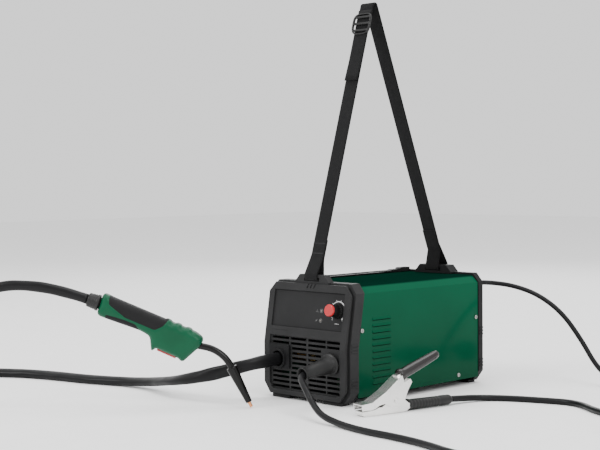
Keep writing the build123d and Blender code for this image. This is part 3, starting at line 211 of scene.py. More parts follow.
def metal(name, colour, rough=0.3, stretch=(1, 1, 1), edge=0.0005, depth=0.00003, mottle=0.1,
          **sockets):
    """Bare or plated metal with fine drawn lines along its longest stretch."""
    made = Shader(name, Metallic=1.0, **sockets)
    mapping = made.node("ShaderNodeMapping")
    made.feed(mapping, Vector=made.place)
    mapping.inputs["Scale"].default_value = stretch
    lines = made.noise(600, 3, 0.6, mapping.outputs[0])
    cloud = made.span(made.noise(35, 4), 0, 1)
    made.colour(made.mix(cloud, shade(colour, 1 - mottle), shade(colour, 1 + mottle)))
    made.roughness(made.span(lines, rough - 0.08, rough + 0.1))
    made.relief([(lines, depth)], edge)
    return made.material


LOW_SHADE_FADE = (0.01, 0.19)       # heights in metres over which the painted shade lower down gives way to the full colour
TOP_SHADE_FADE = (0.187, 0.1895)      # heights between which the painted shade on the top sets in


def painted(name, colour, low_shade_colour, rough=0.35, top_shade_colour=None, coat=0.0, **sockets):
    """Powder-coated sheet: a fine orange-peel skin, darker lower down with painted shade. With a
    top shade colour, the housing's top takes that colour as painted shade and loses its clear
    coat."""
    made = Shader(name, **sockets)
    parts = made.node("ShaderNodeSeparateXYZ")
    made.feed(parts, Vector=made.place)
    height = made.span(parts.outputs["Z"], 0, 1, *LOW_SHADE_FADE)
    cloud = made.span(made.noise(9, 3), -0.12, 0.12)
    # painted shade: lower down the colour goes towards the darker low colour
    body = made.mix(made.math("ADD", height, cloud), low_shade_colour, colour)
    if top_shade_colour:
        # painted shade: the housing's top turns to the darker top colour and loses its clear coat
        top = made.span(parts.outputs["Z"], 0, 1, *TOP_SHADE_FADE)
        body = made.mix(top, body, top_shade_colour)
        made.tree.links.new(made.math("MULTIPLY", made.math("SUBTRACT", 1.0, top), coat),
                            made.bsdf.inputs["Coat Weight"])
    made.colour(body)
    peel = made.noise(420, 2, 0.4)
    speck = made.noise(1800, 1)
    made.roughness(made.span(made.noise(40, 4), rough - 0.05, rough + 0.07))
    made.relief([(peel, 0.00005), (speck, 0.00002)], 0.0009)
    return made.material


def woven(name, colour, pitch=0.0017, rough=0.85):
    """Flat webbing: fine ribs across with a twill line, read from the ribbon's own UVs."""
    made = Shader(name, Sheen_Weight=0.06, Sheen_Roughness=0.5, Specular_IOR_Level=0.1)
    uv = made.node("ShaderNodeTexCoord").outputs["UV"]
    parts = made.node("ShaderNodeSeparateXYZ")
    made.feed(parts, Vector=uv)
    across, along = parts.outputs["X"], parts.outputs["Y"]
    warp = made.math("SINE", made.math("MULTIPLY", across, 2 * pi / pitch))
    slant = made.math("ADD", made.math("MULTIPLY", across, 0.6), along)
    weft = made.math("SINE", made.math("MULTIPLY", slant, 2 * pi / (pitch * 1.35)))
    cloth = made.math("MULTIPLY", made.math("ADD", warp, 1.4), made.math("ADD", weft, 1.4))
    fuzz = made.noise(2600, 2)
    tone = made.math("ADD", made.span(cloth, 0, 0.8, 0.2, 5.0), made.span(fuzz, 0, 0.2))
    made.colour(made.mix(tone, shade(colour, 0.55), shade(colour, 1.55)))
    made.bsdf.inputs["Roughness"].default_value = rough
    made.relief([(cloth, 0.00012), (fuzz, 0.00008)])
    return made.material


GREEN = (0.0015, 0.072, 0.034)
# painted shade: the darker green the panels take lower down
GREEN_SHADED_LOW = (0.0006, 0.040, 0.019)
# painted shade: the darker green of the housing's top
GREEN_TOP_SHADE = (0.0008, 0.016, 0.0095)
DULL = {"Specular_IOR_Level": 0.12}
FINISHES = {
    "cover_grey": moulded("cover_grey", (0.022, 0.022, 0.0225), 0.55, edge=0.0012, depth=0.00009,
                          **DULL),
    "cover_black": moulded("cover_black", (0.0085, 0.0085, 0.009), 0.5, edge=0.001,
                           depth=0.00009, **DULL),
    "control_grey": moulded("control_grey", (0.0165, 0.0165, 0.017), 0.5, edge=0.0005, **DULL),
    "knob_black": moulded("knob_black", (0.004, 0.004, 0.004), 0.4, edge=0.0003, **DULL),
    "knob_red": moulded("knob_red", (0.44, 0.016, 0.019), 0.35, edge=0.0008, Coat_Weight=0.2),
    "lamp_lens": moulded("lamp_lens", (0.16, 0.15, 0.13), 0.2, edge=0.0003, Coat_Weight=0.4),
    "rubber_black": moulded("rubber_black", (0.010, 0.010, 0.010), 0.42, grain=500,
                            edge=0.0006, Specular_IOR_Level=0.3),
    "rocker_black": moulded("rocker_black", (0.006, 0.006, 0.006), 0.3, edge=0.0005,
                            Specular_IOR_Level=0.35),
    # painted shade: the second colour darkens the tray lower down
    "tray_steel": painted("tray_steel", (0.016, 0.016, 0.017), (0.012, 0.012, 0.013), 0.5, **DULL),
    # painted shade: darker green lower down, and a darker top without clear coat
    "panel_green": painted("panel_green", GREEN, GREEN_SHADED_LOW, 0.4, GREEN_TOP_SHADE, 0.12,
                           Specular_IOR_Level=0.0, Coat_Roughness=0.12),
    "screw_steel": metal("screw_steel", (0.36, 0.355, 0.34), 0.28),
    "cast_metal": metal("cast_metal", (0.09, 0.09, 0.093), 0.5, depth=0.0001),
    "brass": metal("brass", (0.30, 0.20, 0.075), 0.35),
    # painted shade: the second colour darkens the motor lower down
    "motor_grey": painted("motor_grey", (0.02, 0.02, 0.022), (0.015, 0.015, 0.015), 0.4, **DULL),
    "roller_steel": metal("roller_steel", (0.17, 0.17, 0.17), 0.38),
    "spool_plastic": moulded("spool_plastic", (0.014, 0.014, 0.015), 0.4, **DULL),
    "copper_wire": metal("copper_wire", (0.78, 0.33, 0.15), 0.28, stretch=(12, 1, 1),
                         depth=0.0002),
    "board_green": moulded("board_green", (0.006, 0.05, 0.018), 0.3),
    "sink_aluminium": metal("sink_aluminium", (0.30, 0.31, 0.32), 0.4),
    "core_iron": metal("core_iron", (0.06, 0.06, 0.06), 0.6, depth=0.0001),
    "sleeve_blue": moulded("sleeve_blue", (0.01, 0.03, 0.1), 0.3),
    "webbing": woven("webbing", (0.0052, 0.0052, 0.0056)),
    "torch_green": moulded("torch_green", (0.0015, 0.068, 0.030), 0.42, edge=0.0005,
                           Specular_IOR_Level=0.1, Coat_Weight=0.12, Coat_Roughness=0.2),
    "grip_black": moulded("grip_black", (0.011, 0.011, 0.0115), 0.6, grain=700, depth=0.0002,
                          **DULL),
    "trigger_red": moulded("trigger_red", (0.42, 0.014, 0.018), 0.4, edge=0.0003),
    "neck_black": moulded("neck_black", (0.004, 0.004, 0.004), 0.12, grain=200, depth=0.00002,
                          edge=0.0004, Specular_IOR_Level=0.22),
    "clamp_zinc": metal("clamp_zinc", (0.88, 0.87, 0.85), 0.3, stretch=(1, 1, 3), edge=0.0012,
                        depth=0.000006, mottle=0.05),
    "cord_black": moulded("cord_black", (0.0065, 0.0065, 0.007), 0.34, grain=350, depth=0.0001,
                          Specular_IOR_Level=0.16),
    "plug_black": moulded("plug_black", (0.009, 0.009, 0.0095), 0.45, **DULL),
    "thread": moulded("thread", (0.012, 0.012, 0.013), 0.8, grain=2000, edge=0),
    "grip_gloss": moulded("grip_gloss", (0.008, 0.006, 0.006), 0.2, grain=200, depth=0.00003,
                          edge=0.0005),
    "print_grey": moulded("print_grey", (0.16, 0.16, 0.16), 0.5, edge=0, mottle=0.05),
    "print_white": moulded("print_white", (0.62, 0.62, 0.62), 0.5, edge=0, mottle=0.05),
    "floor": moulded("floor", (0.93, 0.93, 0.93), 0.8, grain=120, depth=0.00005, edge=0,
                     mottle=0.01, Specular_IOR_Level=0.1),
}
SLOT_OF = {part["node"]: part["material_slot"] for part in frame["record"]["subparts"]}
for node, cad_piece in frame["nodes"].items():
    finish_name = "tray_steel" if node.endswith("hinge_leaf") else SLOT_OF[node]
    for material_slot in cad_piece.material_slots:
        material_slot.link = "OBJECT"
        material_slot.material = FINISHES[finish_name]


# ---- mesh helpers ------------------------------------------------------------------------


def make_mesh(name, points, faces, finish, uvs=None, smooth=True):
    """A mesh object from points in metres, with one finish and optional UVs per corner."""
    mesh = bpy.data.meshes.new(name)
    mesh.from_pydata([tuple(point) for point in points], [], faces)
    mesh.validate()
    if uvs:
        layer = mesh.uv_layers.new(name="UVMap")
        for loop in mesh.loops:
            layer.data[loop.index].uv = uvs[loop.vertex_index]
    for face in mesh.polygons:
        face.use_smooth = smooth
    mesh.materials.append(FINISHES[finish])
    return add_object(name, mesh)


def place(piece, body, slot, *nodes):
    """Lets a finished piece ride on its body, if it has one, and hides the CAD nodes it replaces.
    The slot argument is not used.
    """
    if body:
        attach(piece, body)
    if nodes:
        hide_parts(*nodes)
    return piece


def bevelled(piece, width, segments=3, angle=35):
    bevel = piece.modifiers.new("rounded", "BEVEL")
    bevel.width = width
    bevel.segments = segments
    bevel.limit_method = "ANGLE"
    bevel.angle_limit = radians(angle)
    bevel.harden_normals = False
    return piece


def route_points(name, points, per_run=10):
    """The points of the smooth line through a cord's route, read from its NURBS spline."""
    data = bpy.data.curves.new(name, "CURVE")
    data.dimensions = "3D"
    data.resolution_u = per_run
    spline = data.splines.new("NURBS")
    spline.points.add(len(points) - 1)
    for control, point in zip(spline.points, points):
        control.co = (point[0] * MM, point[1] * MM, point[2] * MM, 1)
    spline.order_u = 3
    spline.use_endpoint_u = True
    carrier = add_object(name, data)
    bpy.context.view_layer.update()
    line = bpy.data.meshes.new_from_object(carrier)
    path = [vertex.co.copy() for vertex in line.vertices]
    bpy.data.objects.remove(carrier)
    bpy.data.meshes.remove(line)
    return path


def path_frames(path, up=(0, 0, 1)):
    """Tangent, side and top of a path at each of its points, turned as little as can be."""
    count = len(path)
    tangents = []
    for index in range(count):
        ahead = path[min(index + 1, count - 1)] - path[max(index - 1, 0)]
        tangents.append(ahead.normalized())
    top = Vector(up)
    top = (top - tangents[0] * top.dot(tangents[0])).normalized()
    frames = []
    for tangent in tangents:
        top = (top - tangent * top.dot(tangent)).normalized()
        frames.append((tangent, tangent.cross(top), top))
    return frames


def tube(name, path, section, finish, sides=24, up=(0, 0, 1)):
    """A tube along a path. section(distance, whole length) gives half width, half height,
    twist in degrees and how square the section is (2 is an ellipse)."""
    frames = path_frames(path, up)
    runs = [0.0]
    for before, after in zip(path, path[1:]):
        runs.append(runs[-1] + (after - before).length)
    points, uvs, faces = [], [], []
    for spot, (tangent, side, top), distance in zip(path, frames, runs):
        half_width, half_height, twist, square = section(distance, runs[-1])
        for index in range(sides):
            angle = 2 * pi * index / sides
            x = abs(cos(angle)) ** (2 / square) * (1 if cos(angle) >= 0 else -1) * half_width
            y = abs(sin(angle)) ** (2 / square) * (1 if sin(angle) >= 0 else -1) * half_height
            turn = radians(twist)
            points.append(spot + side * (x * cos(turn) - y * sin(turn))
                          + top * (x * sin(turn) + y * cos(turn)))
            uvs.append((index / sides, distance))
    for ring in range(len(path) - 1):
        for index in range(sides):
            after = (index + 1) % sides
            faces.append((ring * sides + index, ring * sides + after,
                          (ring + 1) * sides + after, (ring + 1) * sides + index))
    faces.append(tuple(range(sides))[::-1])
    faces.append(tuple(range((len(path) - 1) * sides, len(path) * sides)))
    return make_mesh(name, points, faces, finish, uvs)


def round_section(radius):
    return lambda distance, whole: (radius, radius, 0, 2)


def lathe(name, start, end, profile, finish, sides=40, flutes=0, flute_depth=0.0, squash=1.0):
    """A turned piece along the line from start to end. profile is (mm along, radius in mm);
    flutes cuts that many shallow grooves along it where the radius is its largest."""
    axis = (Vector(end) - Vector(start)).normalized()
    side = axis.orthogonal().normalized()
    if abs(axis.z) < 0.9:
        side = axis.cross(Vector((0, 0, 1))).normalized()
    top = side.cross(axis).normalized()
    widest = max(radius for along, radius in profile)
    points, faces = [], []
    for along, radius in profile:
        for index in range(sides):
            angle = 2 * pi * index / sides
            reach = radius
            if flutes and radius > 0.8 * widest:
                reach -= flute_depth * (0.5 - 0.5 * cos(flutes * angle))
            points.append(Vector(start) + axis * along * MM
                          + side * reach * MM * cos(angle) * squash
                          + top * reach * MM * sin(angle))
    for ring in range(len(profile) - 1):
        for index in range(sides):
            after = (index + 1) % sides
            faces.append((ring * sides + index, ring * sides + after,
                          (ring + 1) * sides + after, (ring + 1) * sides + index))
    faces.append(tuple(range(sides))[::-1])
    faces.append(tuple(range((len(profile) - 1) * sides, len(profile) * sides)))
    return make_mesh(name, points, faces, finish)


# ---- cords -------------------------------------------------------------------------------

TORCH_TIP = (-21, -276, 0)
TORCH_TURN = radians(45)


def torch(x, z, near=0.0):
    """A point of the torch's own plane, in mm: near is towards its right side."""
    return (
        TORCH_TIP[0] + x * cos(TORCH_TURN) + near * sin(TORCH_TURN),
        TORCH_TIP[1] + x * sin(TORCH_TURN) - near * cos(TORCH_TURN),
        TORCH_TIP[2] + z,
    )


def coil(centre, radius, start, turns, slots, level, per_turn=16, shift_span=40):
    """The points of a wound coil. slots gives each turn's place in the bundle, as its
    distance outwards and its height, and a turn changes slot just before it is complete."""
    points = []
    steps = round(turns * per_turn)
    for step in range(steps + 1):
        angle = 360 * turns * step / steps
        turn = int(angle // 360)
        part = angle - 360 * turn
        begin = 360 - shift_span * (turn + 1) - 8
        share = min(1, max(0, (part - begin) / shift_span))
        share = share * share * (3 - 2 * share)
        here = slots[min(turn, len(slots) - 1)]
        later = slots[min(turn + 1, len(slots) - 1)]
        out = here[0] + (later[0] - here[0]) * share
        high = here[1] + (later[1] - here[1]) * share
        way = radians(start + angle)
        points.append((
            centre[0] + (radius + out) * cos(way),
            centre[1] + (radius + out) * sin(way),
            level + high,
        ))
    return points


HOSE_D, EARTH_D, MAINS_D = 16, 10, 8.5
HOSE_COIL = ((-640, -500), 93.5)        # centre and radius of each put-away coil
EARTH_COIL = ((560, -40), 55)
MAINS_COIL = ((370, 330), 47)
hose_route = [
    (-57, -163.5, 66), (-57.2, -205, 64.6), (-76.5, -246, 57), (-117, -277, 43.5),
    (-168, -290, 32), (-222, -283, 22.5), (-274, -270, 14.5), (-331, -272, 8.8), (-384, -290, 8),
    (-434, -306, 8), (-480, -314, 8), (-530, -326, 8), (-584, -350, 8), (-640, -388, 8),
    (-688, -424, 8),
]
hose_route += coil(*HOSE_COIL, 136, (615 - 136) / 360, [(0, 0), (0, 16.5)], 8)
hose_route += [
    (-574, -597, 12), (-524, -610, 8.5), (-474, -623, 14), (-430, -628, 40),
    (-392, -624, 84), (-362, -611, 134), (-336, -590, 176), (-300, -555, 199),
    (-258, -513, 197), torch(-283, 184.5), torch(-256, 175.2),
]
earth_route = [
    (60.5, -226.5, 60.6), (62.2, -243.7, 57.1), (72.1, -257.9, 53.4), (103.3, -274.5, 38.1),
    (116.5, -278.3, 24.9), (153.8, -297.2, 12), (196, -301, 5), (254, -315, 5), (318, -317, 5.2),
    (380, -327, 5), (440, -348, 5), (500, -346, 5), (556, -316, 5), (600, -270, 5), (622, -210, 5),
    (626, -150, 5), (620.4, -95, 5),
]
earth_route += coil(*EARTH_COIL, 4, (360 + 360 + 90 - 4) / 360,
                    [(5.2, 0), (-5.2, 0), (0, 9.7)], 5)
earth_route += [
    (548, 15.6, 14.8), (505, 18, 15), (455, 24, 6), (412, 40, 5), (350, 84, 5), (292, 66, 5),
    (244, 47, 5), (212, 22, 5.5), (199, -10, 7.5), (193.6, -42, 9.2),
]
mains_route = [
    (45, 188, 172), (45.5, 222, 171.8), (62, 248, 170.5), (98, 264, 166), (146, 272, 152),
    (194, 276, 122), (234, 276, 76), (264, 274, 34), (300, 276, 8), (346, 281, 4.5),
]
mains_route += coil(*MAINS_COIL, 278, (440 + 1080 - 278) / 360,
                    [(4.4, 0), (-4.4, 0), (-4.4, 8.8), (4.4, 8.8)], 4.5)
mains_route += [(362, 379, 12), (342, 386, 14), (326, 390, 18)]


FLAT_HALF = (10.6, 6.9)         # half width and half height of the hose's flat sleeve
ROUND_HALF = (8.2, 7.6)         # and where it enters the torch


def hose_section(distance, whole):
    """The hose's fabric sleeve lies flat, stands on edge at the machine, and is round where
    it enters the torch."""
    flat = min(1, max(0, (distance - 0.08) / 0.17))
    flat = flat * flat * (3 - 2 * flat)
    end = min(1, max(0, (distance - whole + 0.45) / 0.3))
    wave = 0.35 * sin(distance * 61) + 0.25 * sin(distance * 143 + 1)
    half_width = FLAT_HALF[0] + (ROUND_HALF[0] - FLAT_HALF[0]) * end + wave
    half_height = FLAT_HALF[1] + (ROUND_HALF[1] - FLAT_HALF[1]) * end - 0.5 * wave
    return half_width * MM, half_height * MM, 90 * (1 - flat), 2.3


hose_path = route_points("hose_line", hose_route)
earth_path = route_points("earth_line", earth_route)
mains_path = route_points("mains_line", mains_route)

hose = place(tube("hose", hose_path, hose_section, "cord_black"), "housing", "cord_black",
             "hose_run", "hose_coil")
earth_lead = place(tube("earth_lead", earth_path, round_section(EARTH_D / 2 * MM), "cord_black"),
                   "housing", "cord_black", "earth_lead_run", "earth_lead_coil")
mains_lead = place(tube("mains_lead", mains_path, round_section(MAINS_D / 2 * MM), "cord_black"),
                   "housing", "cord_black", "mains_lead_run", "mains_lead_coil")


def coil_tie(name, centre, radius, angle, half_width, height, band=9):
    """A hook-and-loop tie round a coil's bundle."""
    out = Vector((cos(radians(angle)), sin(radians(angle)), 0))
    along = Vector((-out.y, out.x, 0))
    middle = mm(centre[0], centre[1], 0) + out * radius * MM
    steps = 28
    points, faces = [], []
    for step in range(steps):
        way = 2 * pi * step / steps
        x = abs(cos(way)) ** 0.7 * (1 if cos(way) >= 0 else -1) * half_width
        z = height / 2 + abs(sin(way)) ** 0.7 * (1 if sin(way) >= 0 else -1) * height / 2
        for lift, shift in ((0, -band / 2), (0.7, -band / 2), (0.7, band / 2), (0, band / 2)):
            points.append(middle + out * (x + lift * cos(way)) * MM
                          + along * shift * MM
                          + Vector((0, 0, max(0.1, z + lift * sin(way)) * MM)))
    for step in range(steps):
        after = (step + 1) % steps
        for index in range(4):
            other = (index + 1) % 4
            faces.append((step * 4 + index, step * 4 + other, after * 4 + other,
                          after * 4 + index))
    return place(make_mesh(name, points, faces, "webbing", smooth=False), "housing", "webbing")


hose_tie = coil_tie("hose_tie", *HOSE_COIL, 215, 9.5, 33)
earth_tie = coil_tie("earth_tie", *EARTH_COIL, 190, 10.6, 20.6)
mains_tie = coil_tie("mains_tie", *MAINS_COIL, 200, 9, 17.6)


# ---- carrying strap ----------------------------------------------------------------------

STRAP_WIDTH, STRAP_THICK = 29, 1.5
FRONT_FOOT, REAR_FOOT, PEAK = Vector((-151, 209)), Vector((169, 209)), Vector((-14, 670))
PEAK_RADIUS = 5.5
BUCKLE_Z = 622
PLY_GAP = -1.7                  # the sewn-back end lies this far under the outer ply


def on_run(foot, height, lift=0.0):
    """A point of one of the strap's two runs, as Y and Z in mm, lifted off its outer face."""
    run = PEAK - foot
    out = Vector((-run.y, run.x)).normalized() * (1 if foot is FRONT_FOOT else -1)
    return foot + run * ((height - foot.y) / run.y) + out * lift


def heights(low, high, step=9.0):
    count = max(2, round(abs(high - low) / step))
    return [low + (high - low) * index / count for index in range(count + 1)]


def ribbon(name, line, width=STRAP_WIDTH, thick=STRAP_THICK, finish="webbing"):
    """Webbing along a line of Y and Z in mm, flat across X, with rounded selvedges."""
    half, rim = width / 2, thick / 2
    section = [(half, 0), (half - 0.3, 0.8 * rim), (half - 0.9, rim)]
    section += [(x * half, rim) for x in (0.6, 0.2, -0.2, -0.6)]
    section += [(-x, z) for x, z in reversed(section[:3])]
    section += [(x, -z) for x, z in reversed(section[1:-1])]
    points, uvs, faces = [], [], []
    run = 0.0
    for index, spot in enumerate(line):
        ahead = line[min(index + 1, len(line) - 1)] - line[max(index - 1, 0)]
        out = Vector((-ahead.y, ahead.x)).normalized()
        run += (spot - line[max(index - 1, 0)]).length * MM
        for x, lift in section:
            at = spot + out * lift
            points.append(mm(x, at.x, at.y))
            uvs.append((x * MM, run))
    count = len(section)
    for ring in range(len(line) - 1):
        for index in range(count):
            after = (index + 1) % count
            faces.append((ring * count + index, ring * count + after,
                          (ring + 1) * count + after, (ring + 1) * count + index))
    faces.append(tuple(range(count))[::-1])
    faces.append(tuple(range((len(line) - 1) * count, len(line) * count)))
    piece = make_mesh(name, points, faces, finish, uvs)
    piece["flat_length"] = run
    return piece


def rounded_line(corners, radius):
    """A polyline of Y and Z with its corners rounded."""
    line = [corners[0]]
    for before, corner, after in zip(corners, corners[1:], corners[2:]):
        reach = min(radius, (before - corner).length / 2.2, (after - corner).length / 2.2)
        start = corner + (before - corner).normalized() * reach
        stop = corner + (after - corner).normalized() * reach
        for step in range(6):
            share = step / 5
            line.append(start.lerp(corner, share).lerp(corner.lerp(stop, share), share))
    line.append(corners[-1])
    return line


def peak_arc():
    """The fold at the top of the strap, from its front run to its rear run."""
    front = (PEAK - FRONT_FOOT).normalized()
    rear = (PEAK - REAR_FOOT).normalized()
    down = -(front + rear).normalized()
    half = front.angle(rear) / 2
    centre = PEAK + down * (PEAK_RADIUS / sin(half))
    first = atan2(front.x, -front.y)
    last = atan2(-rear.x, rear.y)
    return [centre + Vector((cos(first + (last - first) * step / 12),
                             sin(first + (last - first) * step / 12))) * PEAK_RADIUS
            for step in range(13)]


front_loop = rounded_line(
    [Vector(at) for at in ((-143.4, 226), (-143.6, 207), (-143.6, 196.8), (-159.4, 196.8),
                           (-159.4, 207), (-147.2, 229))], 3.2)
rear_loop = rounded_line(
    [Vector(at) for at in ((162, 234), (179.4, 207), (179.4, 196.8), (152.6, 196.8),
                           (152.6, 207), (158.2, 232))], 3.2)
strap_path = [on_run(FRONT_FOOT, z, PLY_GAP) for z in heights(262, 232)]
strap_path += front_loop
strap_path += [on_run(FRONT_FOOT, z) for z in heights(238, 648)]
strap_path += peak_arc()
strap_path += [on_run(REAR_FOOT, z) for z in heights(648, 244)]
strap_path += rear_loop
strap_path += [on_run(REAR_FOOT, z, PLY_GAP) for z in heights(240, 268)]
strap = place(ribbon("carrying_strap", strap_path), None, "webbing", "strap_webbing",
              "strap_loops")
tail_path = [on_run(FRONT_FOOT, z, 1.75 + max(0, 560 - z) * 0.05) for z in heights(526, 646)]
strap_tail = place(ribbon("strap_tail", tail_path), "strap", "webbing")


def stitches(name, foot, low, high):
    """Two short rows of thread across the strap where its end is sewn back on itself."""
    points, faces = [], []
    for height in (low, high):
        for index in range(11):
            x = -11 + 2.2 * index
            for side in (-0.8, 0.8):
                for rise in (-0.9, 0.9):
                    at = on_run(foot, height + rise, 0.93)
                    points.append(mm(x + side, at.x, at.y))
            base = len(points) - 4
            faces.append((base, base + 1, base + 3, base + 2))
    return make_mesh(name, points, faces, "thread", smooth=False)


front_tack = place(stitches("front_tack", FRONT_FOOT, 240, 256), None, "webbing")
rear_tack = place(stitches("rear_tack", REAR_FOOT, 246, 262), None, "webbing")
for cloth in (strap, front_tack, rear_tack):
    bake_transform(cloth)


def joined(name, parts):
    """One object from several finished ones, which are used up."""
    whole = bmesh.new()
    finish = parts[0].data.materials[0]
    for part in parts:
        whole.from_mesh(part.data)
        bpy.data.objects.remove(part)
    mesh = bpy.data.meshes.new(name)
    whole.to_mesh(mesh)
    whole.free()
    mesh.materials.append(finish)
    return add_object(name, mesh)


def buckle_point(x, rise, lift):
    """A point of the buckle: across the strap, along it, and off its outer face."""
    at = on_run(FRONT_FOOT, BUCKLE_Z + rise, lift)
    return mm(x, at.x, at.y)


def buckle():
    """A ladder buckle: an oval frame with crowned bars across it."""
    out = (on_run(FRONT_FOOT, 300, 1) - on_run(FRONT_FOOT, 300, 0)).to_3d()
    up = (0, out.x, out.y)
    ring = []
    for step in range(49):
        way = 2 * pi * step / 48
        x = abs(cos(way)) ** 0.5 * (1 if cos(way) >= 0 else -1) * 18.6
        rise = abs(sin(way)) ** 0.55 * (1 if sin(way) >= 0 else -1) * 16.9
        ring.append(buckle_point(x, rise, 3.4 + 0.9 * cos(way * 2)))
    parts = [tube("frame", ring, lambda run, whole: (1.5 * MM, 2.3 * MM, 0, 2.6),
                  "rocker_black", 12, up)]
    for rise, lift, wide in ((11.2, 4.2, 2.0), (0, 4.6, 2.3), (-11.2, 4.2, 2.0)):
        bar = [buckle_point(x, rise, lift + 0.5 * cos(x / 12)) for x in range(-18, 19, 3)]
        parts.append(tube("bar", bar, lambda run, whole, w=wide: (w * MM, 1.5 * MM, 0, 2.4),
                          "rocker_black", 12, up))
    return joined("ladder_buckle", parts)


place(buckle(), "strap", "rocker_black", "strap_buckle")


# ---- torch handle ------------------------------------------------------------------------

HANDLE = [
    (-243, 151), (-230, 187), (-216, 179), (-84, 122), (-73, 112), (-78, 100), (-108, 74),
    (-116, 82), (-149, 97), (-157, 92), (-159, 116), (-173, 125), (-226, 144),
]
CORNER_REACH = (8, 8, 9, 6, 6, 8, 5, 2, 2, 2.5, 5, 8, 9)
GRIP_ZONES = [
    [(-219, 192), (-221, 168), (-196, 147), (-150, 127), (-136, 133), (-125, 146), (-124, 160)],
    [(-231, 130), (-227, 152), (-212, 148), (-196, 143), (-180, 136), (-170, 118)],
]
TOP_EDGE, TOP_OUT, TOP_REACH = Vector((-216, 179)), Vector((0.397, 0.918)), 4
RIDGES, RIDGE_HALF, RIDGE_RISE = (-128, -112, -96), 5.2, 1.9
HANDLE_HALF = 16.5
CROWN, CROWN_POWER = 12.0, 2.4     # how far in from its edge the handle rounds over, and how fully
GROOVE_DEPTH, GROOVE_HALF = 0.75, 1.3      # the groove between the handle's green and its grips


def smooth_outline(corners, reaches, step=2.2):
    """A closed outline with its corners rounded, as evenly spaced points."""
    dense = []
    count = len(corners)
    for index in range(count):
        before, corner, after = (Vector(corners[(index + shift) % count]) for shift in (-1, 0, 1))
        reach = reaches[index]
        start = corner + (before - corner).normalized() * reach
        stop = corner + (after - corner).normalized() * reach
        for part in range(9):
            share = part / 8
            dense.append(start.lerp(corner, share).lerp(corner.lerp(stop, share), share))
    line, spare = [], 0.0
    for here, there in zip(dense, dense[1:] + dense[:1]):
        length = (there - here).length
        while spare < length:
            line.append(here.lerp(there, spare / length))
            spare += step
        spare -= length
    return line


def ridged(point):
    """Raises low ridges across the front of the handle's top edge."""
    if (point - TOP_EDGE).dot(TOP_OUT) < -TOP_REACH:
        return point
    lift = 0.0
    for ridge in RIDGES:
        gap = abs(point.x - ridge) / RIDGE_HALF
        if gap < 1:
            lift = max(lift, RIDGE_RISE * (1 - gap ** 3))
    return point + TOP_OUT * lift


def gap_to_line(point, line):
    best = 1e9
    for here, there in zip(line, line[1:] + line[:1]):
        run = there - here
        share = max(0.0, min(1.0, (point - here).dot(run) / max(1e-9, run.length_squared)))
        best = min(best, (here + run * share - point).length)
    return best


def inside_line(point, line):
    found = False
    for here, there in zip(line, line[1:] + line[:1]):
        if (here.y > point.y) != (there.y > point.y):
            if point.x < here.x + (point.y - here.y) * (there.x - here.x) / (there.y - here.y):
                found = not found
    return found


TRIGGER_START, TRIGGER_END = Vector((-117.4, 82.6)), Vector((-147.6, 96.3))
TRIGGER_RUN = (TRIGGER_END - TRIGGER_START).normalized()
SLOT_HALF = 5.4


def slot_lift(point):
    """Half the width of the trigger's slot where the handle's underside is open for it."""
    along = (point - TRIGGER_START).dot(TRIGGER_RUN)
    return SLOT_HALF if -1.2 < along < 34.6 and point.y < 108 else 0.0


def handle_meshes():
    """The handle as two mirrored crowned shells, split into its green and its grip faces."""
    outline = [ridged(point) for point in smooth_outline(HANDLE, CORNER_REACH, 1.8)]
    zones = [smooth_outline(zone, [3] * len(zone), 2.0) for zone in GRIP_ZONES]
    seeds = list(outline)
    edges = [(index, (index + 1) % len(outline)) for index in range(len(outline))]
    for zone in zones:
        kept = [point for point in zone
                if inside_line(point, outline) and gap_to_line(point, outline) > 0.5]
        first = len(seeds)
        seeds += kept
        for index in range(len(kept) - 1):
            if (kept[index + 1] - kept[index]).length < 3.5:
                edges.append((first + index, first + index + 1))
    count = len(outline)
    for depth in (0.25, 0.8, 1.6, 2.8, 4.4, 6.4, 9.0, 12.0):
        for index in range(0, count, 1 if depth < 5 else 2):
            here, there = outline[index], outline[(index + 1) % count]
            run = there - here
            point = here + Vector((run.y, -run.x)).normalized() * depth
            if inside_line(point, outline) and gap_to_line(point, outline) > depth * 0.93:
                seeds.append(point)
    for column in range(-240, -74, 3):
        for row in range(76, 186, 3):
            point = Vector((column + 0.4 * sin(row), row))
            if inside_line(point, outline) and gap_to_line(point, outline) > CROWN:
                seeds.append(point)
    flat, _, triangles, _, _, _ = delaunay_2d_cdt(seeds, edges, [], 1, 0.01)
    lifts, shells = [], {"green": [], "grip": []}
    for point in flat:
        depth = gap_to_line(point, outline)
        rounding = (1 - min(depth, CROWN) / CROWN) ** CROWN_POWER
        lift = HANDLE_HALF * (1 - rounding) ** (1 / CROWN_POWER)
        border = min(gap_to_line(point, zone) for zone in zones)
        if depth > 1:
            lift -= GROOVE_DEPTH * max(0.0, 1 - border / GROOVE_HALF)
            if border > GROOVE_HALF and any(inside_line(point, zone) for zone in zones):
                lift += 0.25
        lifts.append(max(slot_lift(point), lift if depth > 0.02 else 0.0))
    for triangle in triangles:
        middle = sum((flat[corner] for corner in triangle), Vector((0, 0))) / 3
        inner = any(inside_line(middle, zone) for zone in zones)
        shells["grip" if inner else "green"].append(triangle)
    made = []
    for shell, finish in (("green", "torch_green"), ("grip", "grip_black")):
        points, faces, index_of = [], [], {}
        for side in (1, -1):
            for triangle in shells[shell]:
                face = []
                for corner in triangle:
                    key = (corner, side if lifts[corner] > 0 else 0)
                    if key not in index_of:
                        index_of[key] = len(points)
                        x, z = flat[corner]
                        points.append(Vector(torch(x, z, side * lifts[corner])) * MM)
                    face.append(index_of[key])
                faces.append(tuple(face if side > 0 else face[::-1]))
        made.append(make_mesh(f"torch_{shell}_shell", points, faces, finish))
    return made


